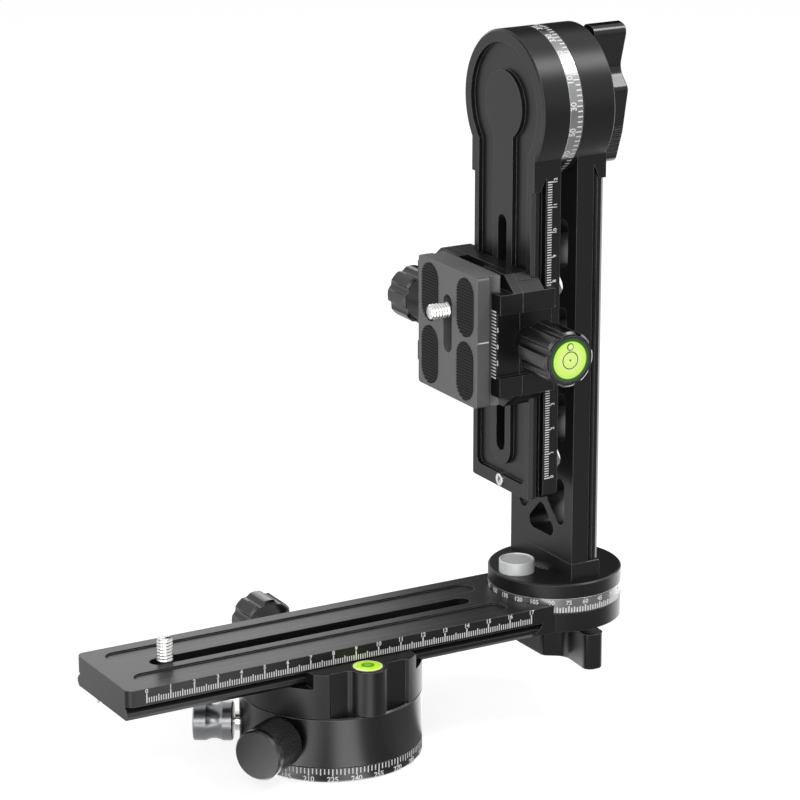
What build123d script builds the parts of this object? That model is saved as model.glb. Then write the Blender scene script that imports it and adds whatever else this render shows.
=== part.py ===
"""Panoramic tripod head: a pan base, a slotted rail, an upright and a swing arm with a camera clamp.

Millimetres. The origin is the pan axis at the face that sits on the tripod. +X runs along the
rail towards the upright, +Y points away from the scales and +Z points up.
"""
import os
from math import cos, pi, radians, sin, sqrt

from build123d import *

# ---- Clearances ----------------------------------------------------------------------------
SEAT_GAP = 0.02        # radial, between pieces that are fixed in each other
RUN_GAP = 0.05         # radial, shafts that turn or slide in a bore
SLIDE_GAP = 0.15       # between a dovetail and the jaws around it
SEAM_GAP = 0.3         # between faces that turn past each other

# ---- Pan base ------------------------------------------------------------------------------
PAN_RADIUS = 36.2
BASE_PLATE_HEIGHT = 6.0
HUB_RADIUS = 24.0
HUB_TOP = 20.4
HUB_EDGE = 0.8
SPIGOT_RADIUS = 9.0
SPIGOT_TOP = 26.9
HOUSING_TOP = 26.4
HOUSING_CAVITY_RADIUS = 30.0
HOUSING_ROOF = 5.0
HOUSING_EDGE = 0.6
PAN_BUSH_WALL = 2.0
PAN_WASHER_RADIUS = 20.0
TRIPOD_THREAD_RADIUS = 4.7625     # 3/8 inch
TRIPOD_THREAD_DEPTH = 10.5
THREAD_BUSH_RADIUS = 8.5
THREAD_BUSH_HEIGHT = 12.0
BASE_SCREW_CIRCLE = 16.0
BASE_SCREW_LENGTH = 14.0
RETAINER_RADIUS = 14.0
RETAINER_THICKNESS = 1.5
RETAINER_BOLT_LENGTH = 16.0

# ---- Index plunger and pan lock, both radial in the housing wall -----------------------------
LOCK_HEIGHT = 16.5
INDEX_HEIGHT = 11.0
INDEX_ANGLE = 149.0
INDEX_STOPS = 24
INDEX_DIMPLE_RADIUS = 1.9
INDEX_DIMPLE_DEPTH = 2.0
INDEX_NOSE_GAP = 0.25
INDEX_TRAVEL = 2.5
INDEX_PIN_RADIUS = 1.6
INDEX_COLLAR_RADIUS = 2.9
INDEX_COLLAR_THICKNESS = 1.2
INDEX_SLEEVE_RADIUS = 4.0
INDEX_SLEEVE_START = 26.8
INDEX_SLEEVE_END = PAN_RADIUS + 1.6
INDEX_SLEEVE_CAP = 1.2
INDEX_KNOB_START = INDEX_SLEEVE_END + 0.8
INDEX_KNOB_LENGTH = 15.8
INDEX_KNOB_END = INDEX_KNOB_START + INDEX_KNOB_LENGTH
INDEX_KNOB_RADIUS = 7.9
INDEX_KNOB_WAIST = 7.0
INDEX_KNOB_RIM = 5.1
INDEX_PIN_END = INDEX_KNOB_START + 7.5
LOCK_ANGLE = 211.0
LOCK_KNOB_START = PAN_RADIUS + 3.0
LOCK_KNOB_LENGTH = 16.6
LOCK_KNOB_END = LOCK_KNOB_START + LOCK_KNOB_LENGTH
LOCK_KNOB_RADIUS = 10.1
LOCK_KNURL_LENGTH = 13.8
LOCK_KNURL_DEPTH = 0.3
LOCK_KNURL_COUNT = 80
LOCK_SCREW_RADIUS = 3.0
LOCK_SCREW_END = LOCK_KNOB_START + 9.0
LOCK_TIP_RADIUS = 1.6
LOCK_TIP_LENGTH = 2.0
SHOE_THICKNESS = (HOUSING_CAVITY_RADIUS - HUB_RADIUS) / 2 + 0.2
SHOE_WIDTH = 14.0
SHOE_HEIGHT = 6.8

# ---- Dovetail rail section: half widths at depths from the dovetail face ---------------------
BAND_HALF = 23.15
BAND_START = 5.6
WAIST_HALF = 20.0
WAIST_DEPTH = 5.2
FLANGE_HALF = 22.1
FLANGE_TOP = 3.1
FLANGE_FOOT = 1.5
FLANGE_FOOT_HALF = 21.0
GRIP_TOP = 5.4         # how far a jaw's lip reaches along the section
GRIP_TIP_HALF = 20.35
GRIP_SHOULDER_HALF = 23.55

# ---- Base clamp ------------------------------------------------------------------------------
RAIL_BOTTOM = 38.5
DECK_GAP = 0.1
JAW_TOP = 44.5
JAW_HALF_LENGTH = 22.7
BASE_FRONT_FLAT = 30.5
BASE_FRONT_HALF = 16.6
BASE_BOSS_OFFSET = 30.2
BASE_BOSS_RADIUS = 7.6
BASE_BOSS_FILLET = 2.2
BASE_LEVEL_RADIUS = 6.5
BASE_LEVEL_DEPTH = 5.0
BODY_BACK = 23.0
JAW_START = 23.3
JAW_FLOOR = 28.4
BASE_JAW_TRAVEL = 3.0
BASE_SCREW_HEIGHT = RAIL_BOTTOM - 3.9
CLAMP_SCREW_RADIUS = 2.5
CLAMP_SCREW_INNER = 8.0
GUIDE_SPACING = 28.0
GUIDE_RADIUS = 2.0
GUIDE_HEIGHT = RAIL_BOTTOM - 5.5
GUIDE_START = 12.0
GUIDE_END = PAN_RADIUS - 3.2
CLAMP_BOLT_X = 18.0
CLAMP_BOLT_Y = 6.0
CLAMP_BOLT_LENGTH = 15.8
WASHER_RADIUS = 6.0
WASHER_THICKNESS = 1.2
SEAT_DEPTH = 0.6

# ---- Lobed knobs -----------------------------------------------------------------------------
LOBE_RADIUS = 11.0
LOBE_COUNT = 8
LOBE_FLUTE_RADIUS = 2.3
LOBE_FLUTE_CENTRE = 12.0
LOBE_LENGTH = 14.0
KNOB_CONE_LENGTH = 7.0
KNOB_NECK_RADIUS = 6.4
KNOB_NECK_LENGTH = 7.0
KNOB_CONE_RADIUS = 9.6
KNOB_END_CHAMFER = 0.9

# ---- Rail ------------------------------------------------------------------------------------
RAIL_TOP = 50.8
RAIL_LEFT = -99.07
DOVETAIL_END = 80.3
DOVETAIL_SLANT = 4.2
RAIL_CORNER = 3.0
RAIL_SLOT_WIDTH = 7.2
RAIL_SLOT_LEFT = -78.5
RAIL_SLOT_RIGHT = 63.4
RAIL_SLOT_STEP_WIDTH = 11.6
RAIL_SLOT_STEP = 6.0
RAIL_POCKET_WIDTH = 10.4
RAIL_POCKET_OFFSET = 12.6
RAIL_POCKET_LEFT = -91.0
RAIL_POCKET_RIGHT = 72.8
RAIL_POCKET_DEPTH = 0.7
RAIL_STUD_X = -72.2
RAIL_STUD_TOP = 60.2
STOP_PIN_X = -95.6
STOP_PIN_Y = 8.5
STOP_PIN_RADIUS = 1.6
STOP_PIN_BOTTOM = 35.4

# ---- Camera screws, 1/4 inch -----------------------------------------------------------------
STUD_RADIUS = 3.175
STUD_NECK_RADIUS = 2.8
STUD_NECK_CLEAR = 0.3
STUD_HEAD_RADIUS = 5.4
STUD_HEAD = 3.6
STUD_SLOT_WIDTH = 1.4

# ---- Swivel at the rail's end ----------------------------------------------------------------
SWIVEL_X = 104.0
SWIVEL_RADIUS = 27.05
SWIVEL_LOWER_BOTTOM = 39.3
SWIVEL_LOWER_TOP = 47.1
SWIVEL_RING_TOP = 53.4
SWIVEL_DISC_TOP = 59.4
SWIVEL_SPIGOT_RADIUS = 21.4
PIVOT_BOLT_RADIUS = 5.0
PIVOT_THREAD_RADIUS = 4.0
PIVOT_HEAD_RADIUS = 8.8
PIVOT_HEAD = 3.5
PIVOT_BUSH_RADIUS = 7.0
PIVOT_FLANGE_RADIUS = 15.4
PIVOT_FLANGE = 0.25
TRACK_RADIUS = 18.0
TRACK_WIDTH = 4.6
TRACK_DEPTH = 2.8
TRACK_STOPS = 4
STOP_POCKET_DEPTH = 0.8
BUTTON_RADIUS = 7.2
BUTTON_TOP = 64.4
BUTTON_BOTTOM = 57.4
BUTTON_RIM = 0.75
BUTTON_DISH = 0.35
BUTTON_TRAVEL = 2.4
BUTTON_POCKET_RADIUS = 7.5
BUTTON_POCKET_DEPTH = 4.6
BUTTON_PIN_RADIUS = 2.0
BUTTON_SPRING_OUTER = 4.2
BUTTON_SPRING_INNER = 3.0

# ---- Wing knobs ------------------------------------------------------------------------------
WING_REACH = 28.2
WING_TIP_INNER = 2.0
WING_TIP_OUTER = 6.6
WING_WAIST = 0.7
WING_WAIST_HEIGHT = 10.0
WING_HUB = 8.4
WING_HUB_HEIGHT = 4.6
WING_BULGE = 8.6
WING_BULGE_HEIGHT = 14.0
WING_ROUNDS = (3.6, 6.0, 3.4, 12.0, 3.6)
WING_DEPTH = 15.0
WING_EDGE = 0.6
WING_FOOT_RADIUS = 8.0
WING_THREAD_DEPTH = 13.0
SWIVEL_KNOB_FOOT = 2.3
TILT_KNOB_FOOT = 4.1
KNOB_FACE_GAP = 0.1
WING_RIBS = 7
WING_RIB_RADIUS = 0.7
WING_RIB_PITCH = 1.9
WING_RIB_SINK = 0.3
TILT_KNOB_TURN = 12.0

# ---- Upright ---------------------------------------------------------------------------------
UPRIGHT_FRONT = 97.4
UPRIGHT_BACK = 110.6
FOOT_TOP = 66.9
FOOT_EDGE = 0.3
FOOT_SCREW_SPACING = 30.0
FOOT_SCREW_LENGTH = 24.0
FOOT_SCREW_START = 55.4
UPRIGHT_GROOVE_TOP = 229.9
LATTICE_FIRST = 90.5
LATTICE_PITCH = 35.6
LATTICE_ROWS = 4
LATTICE_WEB = 4.0
LATTICE_HALF = 17.0
LATTICE_ROUND = 3.2
LATTICE_BASE = 74.0
LATTICE_CROWN = 213.0

# ---- Tilt pivot and swing arm ----------------------------------------------------------------
TILT_Z = 252.0
TILT_RADIUS = 29.4
TILT_DISC_FRONT = 95.9
TILT_RING_BACK = 95.6
TILT_SPIGOT_RADIUS = 22.9
ARM_FRONT = 77.7
ARM_BACK = 89.9
ARM_BOTTOM = 96.3
ARM_CORNER = 4.0
ARM_GROOVE_TOP = 227.4
GROOVE_SLANT = 5.8
ARM_RECESS = 1.9
ARM_RECESS_HALF = 18.0
ARM_RECESS_HEAD = 24.5
ARM_RECESS_BOTTOM = 101.6
ARM_RECESS_CORNER = 3.0
ARM_ISLAND_HALF = 7.2
ARM_ISLAND_HEAD = 13.6
ARM_ISLAND_BOTTOM = 106.0
ARM_SLOT_WIDTH = 6.5
ARM_SLOT_BOTTOM = 111.7
ARM_SLOT_TOP = 208.3
ARM_STOP_Z = 99.3
ARM_STOP_RADIUS = 2.5
ARM_STOP_PROUD = 0.5

# ---- Double clamp on the swing arm -----------------------------------------------------------
CLAMP_Z = 163.2
CLAMP_SIDE_HALF = 20.6
CLAMP_END_HALF = 26.6
CLAMP_NEAR = -27.0
CLAMP_FAR = 36.5
CLAMP_CHAMFER = 7.6
CLAMP_LIP_END_FRONT = 66.9
CLAMP_LIP_END_BACK = 80.6
CLAMP_NOTCH_WIDTH = 18.5
CLAMP_NOTCH_MIDDLE = 5.0
CLAMP_NOTCH_FRONT = 65.6
CLAMP_NOTCH_DEPTH = 3.0
CLAMP_WAIST_HALF = 12.7
CLAMP_WAIST_DEPTH = 2.3
CLAMP_SEAM = 70.9
CLAMP_BACK = 85.5
PLATE_BACK = 64.0
PLATE_FLANGE_TRIM = 2.1     # the plate's flange is this much thinner than the rails'
CLAMP_JAW_SPLIT = 22.6
CLAMP_JAW_TRAVEL = 3.0
ARM_SCREW_RADIUS = 2.0
ARM_KNOB_X = 74.9
PLATE_KNOB_X = 72.6
BOSS_HALF = 11.0
BOSS_BACK = 76.0
CLAMP_THREAD_END = 5.0
CLAMP_GUIDE_OFFSET = 15.5
CLAMP_GUIDE_RADIUS = 1.6
CLAMP_GUIDE_DEPTH = 9.0
CORE_SCREW_SPACING = 40.0
LEVEL_KNOB_START = -34.0
LEVEL_KNOB_LENGTH = 20.4
KNOB_LEVEL_RADIUS = 9.4
KNOB_LEVEL_DEPTH = 7.0

# ---- Quick-release plate ---------------------------------------------------------------------
PLATE_FRONT = 53.0
PLATE_HALF = 22.5
PLATE_BOTTOM = 138.2
PLATE_TOP = 190.5
PLATE_CORNER = 1.5
PLATE_SLOT_WIDTH = 6.6
PLATE_SLOT_BOTTOM = 155.8
PLATE_SLOT_TOP = 179.2
PLATE_SLOT_STEP_WIDTH = 11.8
PLATE_SLOT_STEP = 4.6
PLATE_STUD_Z = 173.0
PLATE_STUD_FRONT = 45.0
PAD_WIDTH = 12.6
PAD_LENGTH = 23.6
PAD_OFFSET = 13.5
PAD_STEP = 25.6
PAD_POCKET = 0.8
PAD_PROUD = 0.35
PAD_RIBS = 19

# ---- Levels ----------------------------------------------------------------------------------
LEVEL_WALL = 0.7
LEVEL_FLOOR = 0.8
LEVEL_DOME = 0.5


# ---- Plain shapes ----------------------------------------------------------------------------
def rod_z(radius, low, high, x=0.0, y=0.0):
    """A cylinder along Z from low to high."""
    return Pos(x, y, (low + high) / 2) * Cylinder(radius, high - low)


def rod_x(radius, low, high, y=0.0, z=0.0):
    """A cylinder along X from low to high."""
    return Pos((low + high) / 2, y, z) * Rot(0, 90, 0) * Cylinder(radius, high - low)


def rod_y(radius, low, high, x=0.0, z=0.0):
    """A cylinder along Y from low to high."""
    return Pos(x, (low + high) / 2, z) * Rot(90, 0, 0) * Cylinder(radius, high - low)


def tube_z(outer, inner, low, high, x=0.0, y=0.0):
    """A round sleeve along Z."""
    return rod_z(outer, low, high, x, y) - rod_z(inner, low - 1, high + 1, x, y)


def tube_x(outer, inner, low, high, y=0.0, z=0.0):
    """A round sleeve along X."""
    return rod_x(outer, low, high, y, z) - rod_x(inner, low - 1, high + 1, y, z)


def tube_y(outer, inner, low, high, x=0.0, z=0.0):
    """A round sleeve along Y."""
    return rod_y(outer, low, high, x, z) - rod_y(inner, low - 1, high + 1, x, z)


def block(x_low, x_high, y_low, y_high, z_low, z_high):
    """A box between two corners."""
    centre = Pos((x_low + x_high) / 2, (y_low + y_high) / 2, (z_low + z_high) / 2)
    return centre * Box(x_high - x_low, y_high - y_low, z_high - z_low)


def prism_x(face_outline, low, high):
    """A (y, z) outline extruded along X."""
    plane = Plane(origin=(low, 0, 0), x_dir=(0, 1, 0), z_dir=(1, 0, 0))
    return extrude(plane * face_outline, amount=high - low)


def prism_z(face_outline, low, high):
    """A (x, y) outline extruded along Z."""
    return extrude(Pos(0, 0, low) * face_outline, amount=high - low)


def prism_y(face_outline, low, high):
    """A (x, z) outline extruded along Y."""
    plane = Plane(origin=(0, high, 0), x_dir=(1, 0, 0), z_dir=(0, -1, 0))
    return extrude(plane * face_outline, amount=high - low)


def outline(points):
    """A closed face through straight lines."""
    return make_face(Polyline(*points, close=True))


def rounded(points, radii):
    """A closed face through straight lines with an arc at each corner."""
    return make_face(FilletPolyline(*points, radius=radii, close=True))


def stadium(width, low, high, across=0.0):
    """A slot outline along its first axis, with round ends."""
    middle = (low + high) / 2
    return Pos(middle, across) * SlotOverall(high - low, width)


def upright_stadium(width, low, high, across=0.0):
    """A slot outline along its second axis, with round ends."""
    middle = (low + high) / 2
    return Pos(across, middle) * Rot(0, 0, 90) * SlotOverall(high - low, width)


def polar(radius, angle):
    """The point at a radius and an angle about the pan axis."""
    return radius * cos(radians(angle)), radius * sin(radians(angle))


def radial(shape, angle, height):
    """A piece that was built along +X, turned to its angle about the pan axis at a height."""
    return Rot(0, 0, angle) * Pos(0, 0, height) * shape


def along_index(shape):
    return radial(shape, INDEX_ANGLE, INDEX_HEIGHT)


def along_lock(shape):
    return radial(shape, LOCK_ANGLE, LOCK_HEIGHT)


# ---- Fasteners -------------------------------------------------------------------------------
def cap_screw(shank, head, head_height, length):
    """A socket screw along +Z with its head's outer face at zero."""
    screw = rod_z(head, 0, head_height) + rod_z(shank, head_height - 0.01, length)
    socket = extrude(RegularPolygon(shank * 0.95, 6, major_radius=False), head_height * 0.6)
    return screw - socket


def screw_space(shank, head, head_height, length, mouth=0.0):
    """The hole for a cap screw; mouth opens it past the head's outer face."""
    bore = rod_z(shank + SEAT_GAP, 0, length)
    return rod_z(head + SEAT_GAP, -mouth, head_height) + bore


def turned_over(shape, x, y, z):
    """A +Z fastener placed with its axis pointing down."""
    return Pos(x, y, z) * Rot(180, 0, 0) * shape


# ---- Dovetails -------------------------------------------------------------------------------
def dovetail_outline(thickness, band_half, trim=0.0):
    """Section of a rail as (half width, depth from the dovetail face), both sides."""
    flange_top = FLANGE_TOP - trim
    right = [
        (FLANGE_FOOT_HALF, 0.0),
        (FLANGE_HALF, min(FLANGE_FOOT, flange_top / 2)),
        (FLANGE_HALF, flange_top),
        (WAIST_HALF, WAIST_DEPTH - trim),
        (WAIST_HALF, BAND_START),
        (band_half, BAND_START),
        (band_half, thickness),
    ]
    left = [(-across, depth) for across, depth in reversed(right)]
    return right + left


def grip_outline(deck, reach, top, trim=0.0):
    """Section of a jaw that grips a dovetail, as (half width, depth); deck and top are depths."""
    wall = FLANGE_HALF + SLIDE_GAP
    slope_start = FLANGE_TOP - trim + SLIDE_GAP * (sqrt(2) - 1)
    lip = slope_start + wall - GRIP_TIP_HALF
    return [
        (wall, deck),
        (wall, slope_start),
        (GRIP_TIP_HALF, lip),
        (GRIP_TIP_HALF, GRIP_TOP - trim),
        (GRIP_SHOULDER_HALF, GRIP_TOP - trim),
        (GRIP_SHOULDER_HALF, top),
        (reach, top),
        (reach, deck),
    ]


# ---- Knobs -----------------------------------------------------------------------------------
KNOB_HOLE_DEPTH = KNOB_NECK_LENGTH + KNOB_CONE_LENGTH


def lobed_outline():
    """A round outline with flutes between its lobes."""
    face = Circle(LOBE_RADIUS)
    for index in range(LOBE_COUNT):
        angle = 2 * pi * (index + 0.5) / LOBE_COUNT
        centre = Pos(LOBE_FLUTE_CENTRE * cos(angle), LOBE_FLUTE_CENTRE * sin(angle))
        face -= centre * Circle(LOBE_FLUTE_RADIUS)
    return face


def lobed_head(length):
    """The fluted grip from z = 0 up, with both ends chamfered."""
    grip = extrude(lobed_outline(), length)
    top = length
    cut_radius = LOBE_RADIUS - KNOB_END_CHAMFER
    barrel = Cylinder(LOBE_RADIUS, top - 2 * KNOB_END_CHAMFER)
    barrel = Pos(0, 0, top / 2) * barrel
    lower = Pos(0, 0, KNOB_END_CHAMFER / 2) * Cone(cut_radius, LOBE_RADIUS, KNOB_END_CHAMFER)
    upper_z = top - KNOB_END_CHAMFER / 2
    upper = Pos(0, 0, upper_z) * Cone(LOBE_RADIUS, cut_radius, KNOB_END_CHAMFER)
    return grip & (barrel + lower + upper)


def clamp_knob(screw_radius):
    """Neck, cone and lobed grip along +Z, with the screw's blind hole in the neck."""
    cone_start = KNOB_NECK_LENGTH
    grip_start = cone_start + KNOB_CONE_LENGTH
    neck = rod_z(KNOB_NECK_RADIUS, 0, cone_start)
    cone = Cone(KNOB_NECK_RADIUS, KNOB_CONE_RADIUS, KNOB_CONE_LENGTH)
    cone = Pos(0, 0, cone_start + KNOB_CONE_LENGTH / 2) * cone
    knob = neck + cone + Pos(0, 0, grip_start) * lobed_head(LOBE_LENGTH)
    return knob - rod_z(screw_radius + SEAT_GAP, -1, KNOB_HOLE_DEPTH)


def wing_outline():
    """The S of a wing knob seen from outside, with its wings up and down."""
    half = [
        (-WING_TIP_INNER, WING_REACH),
        (-WING_WAIST, WING_WAIST_HEIGHT),
        (-WING_HUB, WING_HUB_HEIGHT),
        (-WING_BULGE, -WING_BULGE_HEIGHT),
        (-WING_TIP_OUTER, -WING_REACH),
    ]
    other = [(-x, -y) for x, y in half]
    return rounded(half + other, WING_ROUNDS * 2)


def wing_ribs(low, high):
    """Grooves across the outer side of one wing's tip."""
    slope = (WING_BULGE - WING_TIP_OUTER) / (WING_REACH - WING_BULGE_HEIGHT)
    grooves = []
    for index in range(WING_RIBS):
        along = WING_BULGE_HEIGHT - WING_RIB_PITCH + index * WING_RIB_PITCH
        across = WING_BULGE - slope * max(0.0, along - WING_BULGE_HEIGHT)
        centre = -across - WING_RIB_RADIUS + WING_RIB_SINK
        grooves.append(rod_z(WING_RIB_RADIUS, low, high, centre, -along))
    return grooves


def wing_knob(foot):
    """A wing knob along +Z from its round foot; both wings are ribbed on their outer sides."""
    knob = Pos(0, 0, foot) * extrude(wing_outline(), WING_DEPTH)
    knob = fillet(knob.edges().group_by(Axis.Z)[-1], WING_EDGE)
    knob += rod_z(WING_FOOT_RADIUS, 0, foot + 1)
    for groove in wing_ribs(foot - 1, foot + WING_DEPTH + 1):
        knob -= groove
        knob -= Rot(0, 0, 180) * groove
    return knob - rod_z(PIVOT_THREAD_RADIUS + SEAT_GAP, -1, WING_THREAD_DEPTH)


# ---- Levels ----------------------------------------------------------------------------------
def level_case(radius, depth):
    """A black cup along +Z whose rim ends at zero."""
    cup = rod_z(radius - SEAT_GAP, -depth, 0)
    return cup - rod_z(radius - LEVEL_WALL, -depth + LEVEL_FLOOR, 1)


def level_vial(radius, depth):
    """The clear vial in the cup, with a shallow domed top just above the rim."""
    glass = radius - LEVEL_WALL - SEAT_GAP
    body = rod_z(glass, -depth + LEVEL_FLOOR, 0)
    dome_radius = (glass**2 + LEVEL_DOME**2) / (2 * LEVEL_DOME)
    dome = Pos(0, 0, LEVEL_DOME - dome_radius) * Sphere(dome_radius)
    return body + (dome & rod_z(glass, -0.01, LEVEL_DOME + 1))


# ---- Pan base pieces -------------------------------------------------------------------------
BASE_SCREW_SIZE = (1.5, 2.8, 1.8)


def base_screw_places():
    return [polar(BASE_SCREW_CIRCLE, 45 + 90 * index) for index in range(4)]


def base_plate():
    plate = rod_z(PAN_RADIUS, 0, BASE_PLATE_HEIGHT)
    plate = chamfer(plate.edges().group_by(Axis.Z)[0], HUB_EDGE)
    plate -= rod_z(THREAD_BUSH_RADIUS + SEAT_GAP, -1, BASE_PLATE_HEIGHT + 1)
    for x, y in base_screw_places():
        plate -= Pos(x, y, 0.6) * screw_space(*BASE_SCREW_SIZE, BASE_SCREW_LENGTH, mouth=1)
    return plate


def thread_bush():
    bush = rod_z(THREAD_BUSH_RADIUS, 0, THREAD_BUSH_HEIGHT)
    return bush - rod_z(TRIPOD_THREAD_RADIUS, -1, TRIPOD_THREAD_DEPTH)


def pan_spindle():
    hub = rod_z(HUB_RADIUS, BASE_PLATE_HEIGHT, HUB_TOP)
    hub = chamfer(hub.edges().group_by(Axis.Z)[-1], HUB_EDGE)
    hub += rod_z(SPIGOT_RADIUS, HUB_TOP - 1, SPIGOT_TOP)
    hub -= rod_z(THREAD_BUSH_RADIUS + SEAT_GAP, 0, THREAD_BUSH_HEIGHT)
    hub -= retainer_bolt_space()
    for x, y in base_screw_places():
        hub -= Pos(x, y, 0.6) * screw_space(*BASE_SCREW_SIZE, BASE_SCREW_LENGTH)
    dimple = rod_x(INDEX_DIMPLE_RADIUS, HUB_RADIUS - INDEX_DIMPLE_DEPTH, HUB_RADIUS + 1)
    for index in range(INDEX_STOPS):
        hub -= radial(dimple, INDEX_ANGLE + 360 * index / INDEX_STOPS, INDEX_HEIGHT)
    return hub


def base_screws():
    screw = cap_screw(*BASE_SCREW_SIZE, BASE_SCREW_LENGTH - 0.2)
    return Compound([Pos(x, y, 0.6) * screw for x, y in base_screw_places()])


RETAINER_BOLT_SIZE = (2.5, 4.6, 2.6)
RETAINER_TOP = SPIGOT_TOP + RETAINER_THICKNESS
RETAINER_BOLT_TOP = RETAINER_TOP + RETAINER_BOLT_SIZE[2]


def retainer_bolt_space():
    return turned_over(screw_space(*RETAINER_BOLT_SIZE, RETAINER_BOLT_LENGTH), 0, 0, RETAINER_BOLT_TOP)


def spindle_retainer():
    """The flanged bolt that holds the housing down on the hub."""
    bolt = cap_screw(*RETAINER_BOLT_SIZE, RETAINER_BOLT_LENGTH - 0.2)
    flange = rod_z(RETAINER_RADIUS, SPIGOT_TOP, RETAINER_TOP)
    return turned_over(bolt, 0, 0, RETAINER_BOLT_TOP) + flange


# ---- Rotating housing ------------------------------------------------------------------------
PAN_BUSH_RADIUS = SPIGOT_RADIUS + RUN_GAP + PAN_BUSH_WALL
HOUSING_CEILING = HOUSING_TOP - HOUSING_ROOF
CLAMP_BOLT_SIZE = (2.0, 3.5, 3.4)
CLAMP_BOLT_TOP = RAIL_BOTTOM - DECK_GAP - 0.2


def clamp_bolt_places():
    return [(x, y) for x in (-CLAMP_BOLT_X, CLAMP_BOLT_X) for y in (-CLAMP_BOLT_Y, CLAMP_BOLT_Y)]


def clamp_bolt_space():
    return screw_space(*CLAMP_BOLT_SIZE, CLAMP_BOLT_LENGTH, mouth=1)


def pan_housing():
    low = BASE_PLATE_HEIGHT + SEAM_GAP
    shell = rod_z(PAN_RADIUS, low, HOUSING_TOP)
    shell = chamfer(shell.edges().group_by(Axis.Z)[-1], HOUSING_EDGE)
    shell -= rod_z(HOUSING_CAVITY_RADIUS, low - 1, HOUSING_CEILING)
    shell -= rod_z(PAN_BUSH_RADIUS + SEAT_GAP, low, HOUSING_TOP + 1)
    shell -= along_index(rod_x(INDEX_SLEEVE_RADIUS + SEAT_GAP, HUB_RADIUS, PAN_RADIUS + 1))
    shell -= along_lock(rod_x(LOCK_SCREW_RADIUS + RUN_GAP, HUB_RADIUS, PAN_RADIUS + 1))
    for x, y in clamp_bolt_places():
        shell -= turned_over(clamp_bolt_space(), x, y, CLAMP_BOLT_TOP)
    return shell


def pan_bush():
    return tube_z(PAN_BUSH_RADIUS, SPIGOT_RADIUS + RUN_GAP, HOUSING_CEILING, HOUSING_TOP)


def pan_washer():
    return tube_z(PAN_WASHER_RADIUS, SPIGOT_RADIUS + 1, HUB_TOP + RUN_GAP, HOUSING_CEILING)


# ---- Index plunger ---------------------------------------------------------------------------
def index_sleeve():
    sleeve = rod_x(INDEX_SLEEVE_RADIUS, INDEX_SLEEVE_START, INDEX_SLEEVE_END)
    chamber_end = INDEX_SLEEVE_END - INDEX_SLEEVE_CAP
    sleeve -= rod_x(INDEX_COLLAR_RADIUS + RUN_GAP, INDEX_SLEEVE_START - 1, chamber_end)
    sleeve -= rod_x(INDEX_PIN_RADIUS + RUN_GAP, INDEX_SLEEVE_START, INDEX_SLEEVE_END + 1)
    return along_index(sleeve)


def index_pin():
    pin = rod_x(INDEX_PIN_RADIUS, HUB_RADIUS + INDEX_NOSE_GAP, INDEX_PIN_END - 0.1)
    collar_start = INDEX_SLEEVE_START + 0.2
    pin += rod_x(INDEX_COLLAR_RADIUS, collar_start, collar_start + INDEX_COLLAR_THICKNESS)
    return along_index(pin)


def index_spring():
    start = INDEX_SLEEVE_START + 0.3 + INDEX_COLLAR_THICKNESS + INDEX_TRAVEL
    end = INDEX_SLEEVE_END - INDEX_SLEEVE_CAP - 0.05
    spring = tube_x(INDEX_COLLAR_RADIUS - 0.2, INDEX_PIN_RADIUS + 0.4, start, end)
    return along_index(spring)


def index_knob():
    """A pull knob with a rim at each end and a hollow waist."""
    start, end = INDEX_KNOB_START, INDEX_KNOB_END
    first_rim = start + INDEX_KNOB_RIM * 0.8
    last_rim = end - INDEX_KNOB_RIM
    middle = (first_rim + last_rim) / 2
    knob = rod_x(INDEX_KNOB_RADIUS, start, end)
    knob = chamfer(knob.edges().filter_by(GeomType.CIRCLE), 0.5)
    sagitta = INDEX_KNOB_RADIUS - INDEX_KNOB_WAIST
    span = last_rim - first_rim
    groove_radius = ((span / 2) ** 2 + sagitta**2) / (2 * sagitta)
    groove = Torus(INDEX_KNOB_WAIST + groove_radius, groove_radius)
    knob -= Pos(middle, 0, 0) * Rot(0, 90, 0) * groove
    knob -= rod_x(INDEX_PIN_RADIUS + SEAT_GAP, start - 1, INDEX_PIN_END)
    return along_index(knob)


# ---- Pan lock --------------------------------------------------------------------------------
SHOE_INNER = HUB_RADIUS + SEAM_GAP
SHOE_OUTER = SHOE_INNER + SHOE_THICKNESS


def knurled_outline(radius, depth, count):
    points = []
    for index in range(2 * count):
        reach = radius - depth * (index % 2)
        angle = pi * index / count
        points.append((reach * cos(angle), reach * sin(angle)))
    return outline(points)


def pan_lock_knob():
    knurl_end = LOCK_KNOB_START + LOCK_KNURL_LENGTH
    knurl_face = knurled_outline(LOCK_KNOB_RADIUS, LOCK_KNURL_DEPTH, LOCK_KNURL_COUNT)
    knurl = extrude(knurl_face, LOCK_KNURL_LENGTH)
    knob = Pos(LOCK_KNOB_START, 0, 0) * Rot(0, 90, 0) * knurl
    rim = rod_x(LOCK_KNOB_RADIUS, knurl_end, LOCK_KNOB_END)
    rim = chamfer(rim.edges().group_by(Axis.X)[-1], 0.7)
    knob += rim
    knob -= rod_x(LOCK_SCREW_RADIUS + SEAT_GAP, LOCK_KNOB_START - 1, LOCK_SCREW_END)
    return along_lock(knob)


def pan_lock_screw():
    """The lock screw, with a thin tip that turns in the shoe."""
    screw = rod_x(LOCK_SCREW_RADIUS, SHOE_OUTER + RUN_GAP, LOCK_SCREW_END - 0.1)
    screw += rod_x(LOCK_TIP_RADIUS, SHOE_OUTER - LOCK_TIP_LENGTH, SHOE_OUTER + 1)
    return along_lock(screw)


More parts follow.
